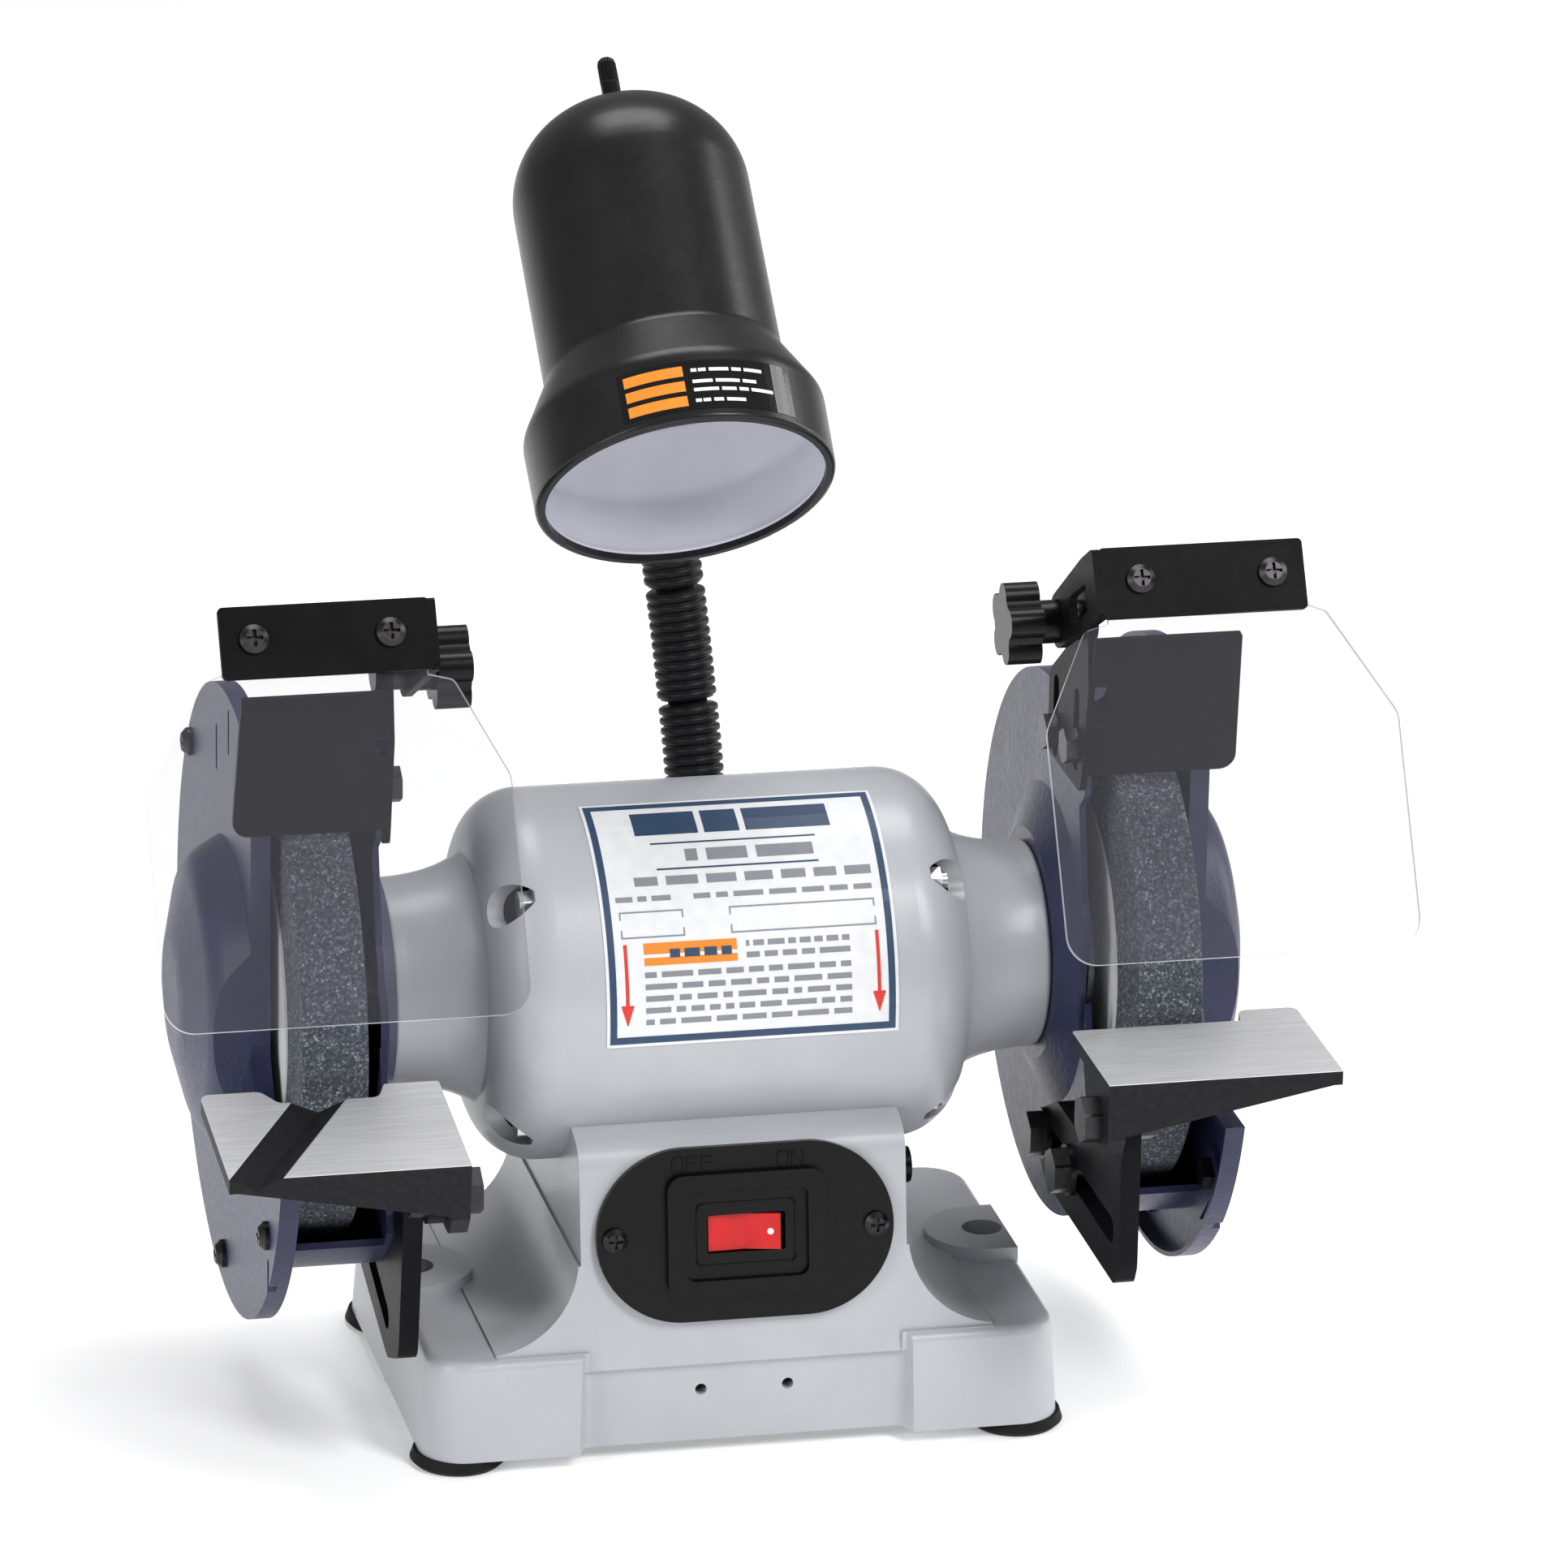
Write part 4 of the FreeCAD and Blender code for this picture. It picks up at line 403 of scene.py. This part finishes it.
def make_materials():
    """Fill the table of finishes."""
    FINISHES["cast"] = make_cast_paint()
    FINISHES["guard"] = make_guard_paint()
    FINISHES["bracket"] = make_black_coat("Black powder coat", (0.0050, 0.0046, 0.0052), 0.38, 0.54, 1600.0)
    FINISHES["arm"] = make_black_coat("Black cast coat", (0.0055, 0.005, 0.0058), 0.34, 0.46, 900.0)
    FINISHES["neck"] = make_plastic("Black corrugated tube", (0.010, 0.010, 0.011), 0.40, 1400.0)
    FINISHES["lamp"] = make_lamp_paint()
    FINISHES["grit"] = make_abrasive()
    FINISHES["zinc"] = make_metal("Zinc plate", (0.55, 0.56, 0.57), 0.32)
    FINISHES["dark_bolt"] = make_metal("Blackened steel", (0.045, 0.043, 0.045), 0.34)
    FINISHES["steel"] = make_metal("Turned steel", (0.42, 0.42, 0.43), 0.28, (0.2, 2.0, 2.0), 900.0)
    FINISHES["copper"] = make_metal("Enamelled copper", (0.60, 0.24, 0.09), 0.35, (0.3, 1, 1), 1500.0)
    FINISHES["plastic"] = make_plastic("Black moulded plastic", (0.0035, 0.0035, 0.0038), 0.28, 1500.0)
    FINISHES["rubber"] = make_plastic("Black rubber", (0.008, 0.008, 0.0085), 0.66, 900.0)
    FINISHES["paper"] = make_paper("Blotter paper", (0.80, 0.81, 0.82))
    FINISHES["label"] = make_paper("Label stock", (0.80, 0.815, 0.83))
    FINISHES["navy_ink"] = make_paper("Navy ink", (0.018, 0.05, 0.115))
    FINISHES["grey_ink"] = make_paper("Grey ink", (0.24, 0.25, 0.28))
    FINISHES["orange_ink"] = make_paper("Orange ink", (0.82, 0.25, 0.01))
    FINISHES["red_ink"] = make_paper("Red ink", (0.70, 0.03, 0.02))
    FINISHES["white_plastic"] = make_plastic("White moulded plastic", (0.78, 0.78, 0.76), 0.35, 900.0)
    FINISHES["gloss_black"] = make_plastic("Glossy black film", (0.006, 0.006, 0.0065), 0.12, 700.0,
                                           coat=0.3)
    FINISHES["red"] = make_plastic("Glossy red plastic", (0.58, 0.010, 0.012), 0.16, 700.0, coat=0.2)
    FINISHES["lens"] = make_lens()


def dress(node, key):
    """Give a CAD node one finish on every slot."""
    mesh = NODES[node].data
    material = FINISHES[key] if isinstance(key, str) else key
    if not mesh.materials:
        mesh.materials.append(material)
    for i in range(len(mesh.materials)):
        mesh.materials[i] = material


PAINT = {
    "cast": ("base_casting", "motor_shell", "left_end_bell", "right_end_bell"),
    "guard": ("right_inner_guard", "left_inner_guard", "right_outer_cover", "left_outer_cover"),
    "bracket": ("right_deflector", "left_deflector", "right_shield_bracket",
                "left_shield_bracket"),
    "arm": ("right_rest_arm", "left_rest_arm"),
    "zinc": ("tie_bolts", "base_screws", "bottom_cover", "wheel_flanges", "spindle_nuts",
             "bearings", "lamp_fittings"),
    "dark_bolt": ("deflector_bolts", "rest_arm_bolts", "right_pivot_bolt", "left_pivot_bolt",
                  "right_shield_pivot", "left_shield_pivot", "right_shield_screws",
                  "left_shield_screws", "switch_plate_screws", "guard_screws"),
    "steel": ("spindle_shaft", "rotor", "stator_core"),
    "copper": ("windings",),
    "grit": ("right_wheel", "left_wheel"),
    "paper": ("wheel_blotters",),
    "label": ("rating_label",),
    "plastic": ("switch_plate", "switch_housing", "right_shield_knob", "left_shield_knob",
                "cord_gland", "lamp_switch_stem", "run_capacitor"),
    "red": ("switch_rocker",),
    "rubber": ("rubber_feet",),
    "neck": ("gooseneck_ferrule",),
    "lamp": ("lamp_shade",),
    "white_plastic": ("lamp_socket",),
    "lens": ("right_eye_shield", "left_eye_shield"),
}


def dress_nodes():
    """Every CAD node in its finish, and each tool rest bright on its own ground top."""
    for key, names in PAINT.items():
        for node in names:
            dress(node, key)
    skin = 0.2 * MM
    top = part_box("right_tool_rest")[1].z
    dress("right_tool_rest", make_rest("Right rest", (0, 0, 1), top - skin))
    normal = Vector((0, -math.sin(LEFT_REST_TILT), math.cos(LEFT_REST_TILT)))
    top = max(v.co.dot(normal) for v in NODES["left_tool_rest"].data.vertices)
    dress("left_tool_rest", make_rest("Left rest", tuple(normal), top - skin))


# --- mesh helpers -----------------------------------------------------------------------
def new_piece(name, verts, faces, key, body, smooth=False):
    """Mesh object with one finish, riding on one CAD body."""
    mesh = bpy.data.meshes.new(name)
    mesh.from_pydata([tuple(v) for v in verts], [], faces)
    mesh.validate()
    form = bmesh.new()
    form.from_mesh(mesh)
    bmesh.ops.recalc_face_normals(form, faces=form.faces)
    form.to_mesh(mesh)
    form.free()
    mesh.materials.append(FINISHES[key])
    for face in mesh.polygons:
        face.use_smooth = smooth
    piece = bpy.data.objects.new(name, mesh)
    bpy.context.scene.collection.objects.link(piece)
    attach(piece, body)
    return piece


def add_patch(verts, faces, place, u0, u1, v0, v1, low, high, steps):
    """Thin slab between two levels of a curved surface; place(u, v, level) gives its points."""
    start = len(verts)
    rows = []
    for level in (low, high):
        for i in range(steps + 1):
            v = v0 + (v1 - v0) * i / steps
            rows.append((len(verts), len(verts) + 1))
            verts += [place(u0, v, level), place(u1, v, level)]
    half = steps + 1
    for i in range(steps):
        a, b = rows[i], rows[i + 1]
        c, d = rows[half + i], rows[half + i + 1]
        faces += [(a[0], a[1], b[1], b[0]), (c[0], d[0], d[1], c[1]),
                  (a[0], b[0], d[0], c[0]), (a[1], c[1], d[1], b[1])]
    first, last = start, start + 2 * steps
    top_first, top_last = start + 2 * half, start + 2 * half + 2 * steps
    faces += [(first, top_first, top_first + 1, first + 1),
              (last, last + 1, top_last + 1, top_last)]


# --- rating label -------------------------------------------------------------------------
def on_shell(x, angle, level):
    """Point on the motor shell: x along the spindle in mm, angle above the front in degrees."""
    radius = SHELL_R + level
    turn = math.radians(angle)
    return (x * MM, -radius * math.cos(turn), SPINDLE.z + radius * math.sin(turn))


def label_piece(name, key, patches):
    """Patches of print on the rating label, as one thin piece in one ink."""
    verts, faces = [], []
    for x0, x1, low, high in patches:
        steps = max(1, int(abs(high - low) / 4))
        add_patch(verts, faces, on_shell, x0, x1, low, high, 0.0, PRINT_LIFT, steps)
    new_piece(name, verts, faces, key, "housing")


def word_bars(x0, x1, angle, height, words):
    """Row of short bars standing for print, with the gaps that words would leave."""
    gap = 0.9
    bars = []
    total = sum(words) + gap * (len(words) - 1)
    scale = (x1 - x0) / total
    x = x0
    for word in words:
        bars.append((x, x + word * scale, angle - height / 2, angle + height / 2))
        x += (word + gap) * scale
    return bars


def make_label_print():
    """Plain bars, boxes and arrows laid out like a rating label; none of it is lettering."""
    left, right, low, high = -41.0, 47.0, -3.0, 79.0
    border, turn = 2.1, 2.2            # border width in mm, and the same round the shell in degrees
    frame_bars = [(left, right, high - turn, high), (left, right, low, low + turn),
                  (left, left + border, low + turn, high - turn),
                  (right - border, right, low + turn, high - turn)]
    header = word_bars(-27.5, 33.0, 69.0, 10.0, (9.0, 5.0, 12.0))
    rules = [(-23.5, 27.5, 60.1, 60.7), (-23.0, 27.0, 50.6, 51.2)]
    label_piece("label_navy_print", "navy_ink", frame_bars + header + rules)
    grey = word_bars(-13.5, 26.0, 55.6, 4.4, (1.2, 4.0, 5.6))
    grey += word_bars(-30.5, 42.5, 47.0, 3.0, (2.5, 3.4, 3.2, 3.0, 2.6, 2.4, 2.8))
    grey += word_bars(-37.0, -20.0, 41.4, 1.7, (3.0, 1.6, 3.4))
    grey += word_bars(-13.0, 42.0, 41.4, 1.7, (2.6, 1.8, 4.6, 4.2, 3.4, 2.8, 2.8))
    rows = ((25.9, 1.5, 33.5, (0.8, 2.6, 4.0, 1.8, 2.6, 2.0, 2.8, 1.8)),
            (22.4, 1.5, 33.5, (2.4, 2.4, 2.6, 2.4, 5.6)),
            (18.0, -30.0, 33.5, (2.0, 5.4, 4.0, 3.0, 2.6, 2.4, 4.6, 2.8, 1.8)),
            (14.4, -30.0, 33.5, (5.2, 3.4, 2.8, 3.4, 2.0, 2.4, 4.6, 4.0)),
            (10.8, -30.0, 33.5, (4.2, 1.8, 3.0, 1.4, 4.2, 2.4, 1.2, 3.4, 2.4)),
            (7.2, -30.0, 33.5, (4.2, 1.6, 2.2, 1.8, 1.4, 2.6, 3.6, 5.0, 2.2, 2.0)),
            (3.6, -30.0, 33.5, (1.4, 2.6, 5.0, 3.4, 4.0, 3.4, 5.2, 3.0)))
    for angle, x0, x1, words in rows:
        grey += word_bars(x0, x1, angle, 1.7, words)
    for x0, x1 in ((-36.5, -16.8), (-2.7, 42.2)):
        grey += [(x0, x1, 37.0, 37.5), (x0, x1, 29.2, 29.7), (x0, x0 + 0.5, 29.7, 37.0),
                 (x1 - 0.5, x1, 29.7, 37.0)]
    label_piece("label_grey_print", "grey_ink", grey)
    label_piece("label_orange_block", "orange_ink", [(-30.0, -1.3, 20.8, 27.6)])
    label_piece("label_block_marks", "navy_ink", word_bars(-22.0, -3.0, 24.2, 2.6, (2, 3, 2.5, 2)))
    arrows = []
    for x in (-35.6, 42.0):
        arrows.append((x - 0.55, x + 0.55, 9.0, 27.5))
        for k in range(7):
            half = 1.9 * (k + 1) / 7
            arrows.append((x - half, x + half, 2.9 + 0.88 * k, 3.78 + 0.88 * k))
    label_piece("label_red_arrows", "red_ink", arrows)


# --- end bells ------------------------------------------------------------------------------
def make_bell_flare(name, side):
    """Cast flare that carries each end bell's face down into its neck."""
    steps, around = 20, 96
    face_x, face_r, neck_x, neck_r, core_r = 71.8, 43.6, 100.0, 31.9, 31.0
    outline = []
    for k in range(steps + 1):
        turn = math.pi / 2 * k / steps
        outline.append((neck_x - (neck_x - face_x) * math.cos(turn),
                        face_r - (face_r - neck_r) * math.sin(turn)))
    outline += [(neck_x, core_r), (face_x, core_r)]
    verts, faces = [], []
    for x, radius in outline:
        for k in range(around):
            turn = 2 * math.pi * k / around
            verts.append((side * x * MM, radius * MM * math.cos(turn),
                          SPINDLE.z + radius * MM * math.sin(turn)))
    for i in range(len(outline)):
        a, b = i * around, (i + 1) % len(outline) * around
        for k in range(around):
            n = (k + 1) % around
            face = (a + k, a + n, b + n, b + k)
            faces.append(face if side > 0 else face[::-1])
    new_piece(name, verts, faces, "cast", "housing", smooth=True)


# --- switch markings ------------------------------------------------------------------------
def on_panel(x, y, z):
    """Switch panel point in millimetres: y into the panel, z up its slope."""
    c, s = math.cos(PANEL_LEAN), math.sin(PANEL_LEAN)
    return PANEL + Vector((x, y * c + z * s, z * c - y * s)) * MM


def add_stroke(verts, faces, a, b, width, back, front):
    """Raised bar from a to b on the panel, its front edges drawn in a little."""
    run = (Vector(b) - Vector(a)).normalized()
    side = Vector((-run.y, run.x))
    start = len(verts)
    for depth, half in ((back, width / 2), (front, width * 0.3)):
        for end, sign in ((Vector(a), -1), (Vector(b), 1)):
            for hand in (-1, 1):
                p = end + run * sign * half + side * hand * half
                verts.append(on_panel(p.x, depth, p.y))
    order = ((0, 1, 3, 2), (4, 6, 7, 5), (0, 2, 6, 4), (1, 5, 7, 3), (0, 4, 5, 1), (2, 3, 7, 6))
    faces += [tuple(start + i for i in face) for face in order]


LETTERS = {
    "O": ((0.2, 0, 0.8, 0), (1, 0.2, 1, 1.2), (0.8, 1.4, 0.2, 1.4), (0, 1.2, 0, 0.2),
          (0.2, 0, 0, 0.2), (0.8, 0, 1, 0.2), (1, 1.2, 0.8, 1.4), (0, 1.2, 0.2, 1.4)),
    "F": ((0, 0, 0, 1.4), (0, 1.4, 0.9, 1.4), (0, 0.75, 0.75, 0.75)),
    "N": ((0, 0, 0, 1.4), (0, 1.4, 1, 0), (1, 0, 1, 1.4)),
}


def make_switch_marks():
    """Moulded OFF and ON, and the raised outline round the bezel."""
    verts, faces = [], []
    size = 3.3
    for word, x0 in (("OFF", -22.3), ("ON", 10.3)):
        for k, letter in enumerate(word):
            x = x0 + k * size * 1.38
            for a, b, c, d in LETTERS[letter]:
                add_stroke(verts, faces, (x + a * size, 19.6 + b * size),
                           (x + c * size, 19.6 + d * size), 0.75, -2.4, -2.85)
    new_piece("switch_letters", verts, faces, "plastic", "housing")
    verts, faces = [], []
    for half_x, half_z, radius, level in ((24.0, 18.6, 6.0, -2.5), (15.2, 9.6, 1.6, -3.2)):
        points = []
        for cx, cz, first in ((1, 1, 0), (-1, 1, 90), (-1, -1, 180), (1, -1, 270)):
            for step in range(6):
                turn = math.radians(first + 18 * step)
                points.append((cx * (half_x - radius) + radius * math.cos(turn),
                               cz * (half_z - radius) + radius * math.sin(turn)))
        for k, point in enumerate(points):
            following = points[(k + 1) % len(points)]
            add_stroke(verts, faces, point, following, 0.8, level + 0.1, level - 0.4)
    new_piece("switch_outlines", verts, faces, "plastic", "housing")


# --- lamp ---------------------------------------------------------------------------------
def on_skirt(angle, h, level):
    """Point on the lamp's skirt: angle from its upper front, degrees; h from the mouth, mm."""
    turn = math.radians(angle)
    radius = (45.8 + 0.013 * h) * MM + level
    local = Vector((radius * math.sin(turn), -radius * math.cos(turn), h * MM))
    return LAMP_MOUTH + LAMP_TURN @ local


def skirt_piece(name, key, patches):
    """Patches on the lamp's skirt, as one thin piece in one ink."""
    verts, faces = [], []
    for a0, a1, h0, h1, low, high in patches:
        count = max(1, int(abs(a1 - a0) / 3))
        add_patch(verts, faces, lambda u, v, level: on_skirt(v, u, level), h0, h1, a0, a1,
                  low * MM, high * MM, count)
    new_piece(name, verts, faces, key, "lamp_head")


def make_lamp_sticker():
    """Blank notice strip on the skirt: glossy black with three orange bars and grey rows."""
    skirt_piece("lamp_notice_strip", "gloss_black", [(-32.0, 38.0, 3.0, 19.5, 0.02, 0.10)])
    bars = [(-29.5, -7.0, h, h + 3.4, 0.10, 0.16) for h in (4.4, 9.4, 14.4)]
    skirt_piece("lamp_notice_bars", "orange_ink", bars)
    rows = []
    for h, words in ((5.4, (3, 2, 4)), (9.0, (5, 3, 2, 5)), (11.8, (4, 5, 3)), (15.6, (3, 4, 2, 4))):
        at = -4.0
        for word in words:
            rows.append((at, at + word * 1.9, h, h + 1.1, 0.10, 0.15))
            at += word * 1.9 + 1.2
    skirt_piece("lamp_notice_rows", "label", rows)


def make_switch_grip():
    """Fluted black sleeve on the switch's round spindle."""
    flutes, around = 16, 128
    groove = 0.28
    levels = ((-9.8, 2.0, 0.0), (4.2, 2.0, 0.0), (4.3, 2.9, 0.0), (10.2, 2.95, 0.0), (10.6, 2.95, 1.0),
              (17.4, 2.88, 1.0), (18.6, 2.6, 0.7), (19.3, 1.9, 0.2), (19.55, 0.8, 0.0))
    verts, faces = [], []
    for h, radius, depth in levels:          # h from the crown, and how deep the flutes are there
        for k in range(around):
            turn = 2 * math.pi * k / around
            r = radius - groove * depth * (0.5 + 0.5 * math.cos(flutes * turn)) ** 2
            local = Vector((r * math.cos(turn), r * math.sin(turn), LAMP_CROWN + h))
            verts.append(LAMP_MOUTH + LAMP_TURN @ local * MM)
    for i in range(len(levels) - 1):
        for k in range(around):
            n = (k + 1) % around
            a, b = i * around, (i + 1) * around
            faces.append((a + k, b + k, b + n, a + n))
    faces += [tuple(range(around)), tuple(range((len(levels) - 1) * around, len(verts)))]
    grip = new_piece("lamp_switch_grip", verts, faces, "plastic", "lamp_switch")
    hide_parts("lamp_switch_stem")


def neck_points():
    """Foot, joint centres and lamp end of the gooseneck in mm, each with its direction."""
    low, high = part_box("gooseneck_ferrule")
    places = [Vector(((low.x + high.x) / 2, (low.y + high.y) / 2, low.z + 0.5 * MM))]
    places += [Vector(joint["pos_m"]) for joint in NECK_BENDS]
    places.append(LAMP_MOUTH + LAMP_TURN @ NECK_END)
    runs = [Vector((0.0, 0.05, 1.0))]
    runs += [after - before for before, after in zip(places, places[2:])]
    runs.append(LAMP_TURN @ Vector((0.0, -1.0, 0.0)))
    return [(place / MM, run) for place, run in zip(places, runs)]


def neck_line():
    """Smooth centre line of the gooseneck through its joint centres, with running length."""
    points, stops = [], neck_points()
    for (p0, t0), (p1, t1) in zip(stops, stops[1:]):
        reach = (p1 - p0).length
        t0, t1 = t0.normalized() * reach, t1.normalized() * reach
        count = max(8, int(reach / 0.5))
        for k in range(count):
            t = k / count
            a, b = 2 * t ** 3 - 3 * t ** 2 + 1, t ** 3 - 2 * t ** 2 + t
            c, d = 3 * t ** 2 - 2 * t ** 3, t ** 3 - t ** 2
            points.append(p0 * a + t0 * b + p1 * c + t1 * d)
    points.append(stops[-1][0])
    lengths = [0.0]
    for a, b in zip(points, points[1:]):
        lengths.append(lengths[-1] + (b - a).length)
    return points, lengths


def sample(points, lengths, s):
    """Point and direction at length s, carrying on straight past either end."""
    i = 0
    while i < len(lengths) - 2 and lengths[i + 1] < s:
        i += 1
    run = points[i + 1] - points[i]
    t = (s - lengths[i]) / max(1e-9, lengths[i + 1] - lengths[i])
    return points[i] + run * t, run.normalized()


def make_neck():
    """Corrugated tube in five lengths, each with a core that sits in the next one's socket."""
    points, lengths = neck_line()
    pitch, around, outer, groove, soften = 3.1, 32, 9.4, 8.35, 0.25
    core_r, core_long, socket_r, socket_deep = 6.2, 5.0, 7.9, 6.5
    below_joint, gap = 8.0, 2.0             # where each length ends under its joint, and the next starts
    rib = ((0.0, groove), (0.16, groove), (0.26, outer - soften), (0.40, outer), (0.72, outer),
           (0.86, outer - soften), (0.96, groove))

    def length_at(z):
        for point, s in zip(points, lengths):
            if point.z >= z:
                return s
        return lengths[-1]

    cuts = [0.0]
    for joint in NECK_BENDS:
        z = joint["pos_m"][2] / MM
        cuts += [length_at(z - below_joint), length_at(z - below_joint + gap)]
    cuts.append(lengths[-1] - 0.3)
    bodies = ("housing", "neck_link_1", "neck_link_2", "neck_link_3", "lamp_head")
    nodes = ("gooseneck_root", "gooseneck_1", "gooseneck_2", "gooseneck_3", "gooseneck_4")
    for k, (body, node) in enumerate(zip(bodies, nodes)):
        s0, s1 = cuts[2 * k], cuts[2 * k + 1]
        rings = []
        if k > 0:
            rings += [(0.0, s0 + socket_deep), (socket_r, s0 + socket_deep), (socket_r, s0)]
        else:
            rings.append((0.0, s0))
        count = max(2, round((s1 - s0) / pitch))
        step = (s1 - s0) / count
        for n in range(count):
            base = s0 + n * step
            for part, radius in rib:
                rings.append((radius, base + part * step))
        rings.append((groove, s1))
        if k < len(bodies) - 1:
            rings += [(core_r, s1), (core_r, s1 + core_long), (0.0, s1 + core_long)]
        else:
            rings.append((0.0, s1))
        build_tube("neck_tube_%d" % k, rings, points, lengths, around, body, node)


def build_tube(name, rings, points, lengths, around, body, node):
    """Closed tube of rings, each a radius at a length along the line; it stands in for node."""
    verts, faces, starts = [], [], []
    for radius, s in rings:
        centre, along = sample(points, lengths, s)
        side = along.cross(Vector((1, 0, 0))).normalized()
        other = along.cross(side)
        starts.append(len(verts))
        if radius == 0.0:
            verts.append(centre * MM)
            continue
        for k in range(around):
            turn = 2 * math.pi * k / around
            verts.append((centre + (side * math.cos(turn) + other * math.sin(turn)) * radius) * MM)
    for i in range(len(rings) - 1):
        a, b = starts[i], starts[i + 1]
        for k in range(around):
            n = (k + 1) % around
            if rings[i][0] == 0.0:
                faces.append((a, b + k, b + n))
            elif rings[i + 1][0] == 0.0:
                faces.append((a + k, b, a + n))
            else:
                faces.append((a + k, b + k, b + n, a + n))
    piece = new_piece(name, verts, faces, "neck", body, smooth=True)
    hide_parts(node)


def make_rocker_dot():
    """Small white dot moulded at the ON end of the rocker, standing just off its face."""
    rocker = NODES["switch_rocker"].data
    faces = [tuple(p.vertices) for p in rocker.polygons]
    tree = BVHTree.FromPolygons([v.co for v in rocker.vertices], faces)
    into = (on_panel(0, 1, 0) - on_panel(0, 0, 0)).normalized()
    hit, normal, index, distance = tree.ray_cast(on_panel(7.4, -12.0, 0), into)
    verts, faces = [hit + normal * 0.00022], []
    side = normal.cross(Vector((0, 0, 1))).normalized()
    other = normal.cross(side)
    rings = ((0.75, 0.0002), (1.0, 0.00008), (1.0, -0.0001))
    for radius, lift in rings:
        for k in range(20):
            turn = math.pi * k / 10
            edge = side * math.cos(turn) + other * math.sin(turn)
            verts.append(hit + edge * radius * MM + normal * lift)
    for k in range(20):
        n = (k + 1) % 20
        faces.append((0, 1 + k, 1 + n))
        for r in range(len(rings) - 1):
            a, b = 1 + 20 * r, 21 + 20 * r
            faces.append((a + k, b + k, b + n, a + n))
    faces.append(tuple(range(41, 61)))
    new_piece("rocker_dot", verts, faces, "white_plastic", "rocker", smooth=False)


make_camera()
make_studio()
make_materials()
dress_nodes()
make_bell_flare("right_bell_flare", 1)
make_bell_flare("left_bell_flare", -1)
make_label_print()
make_switch_marks()
make_rocker_dot()
make_lamp_sticker()
make_switch_grip()
make_neck()
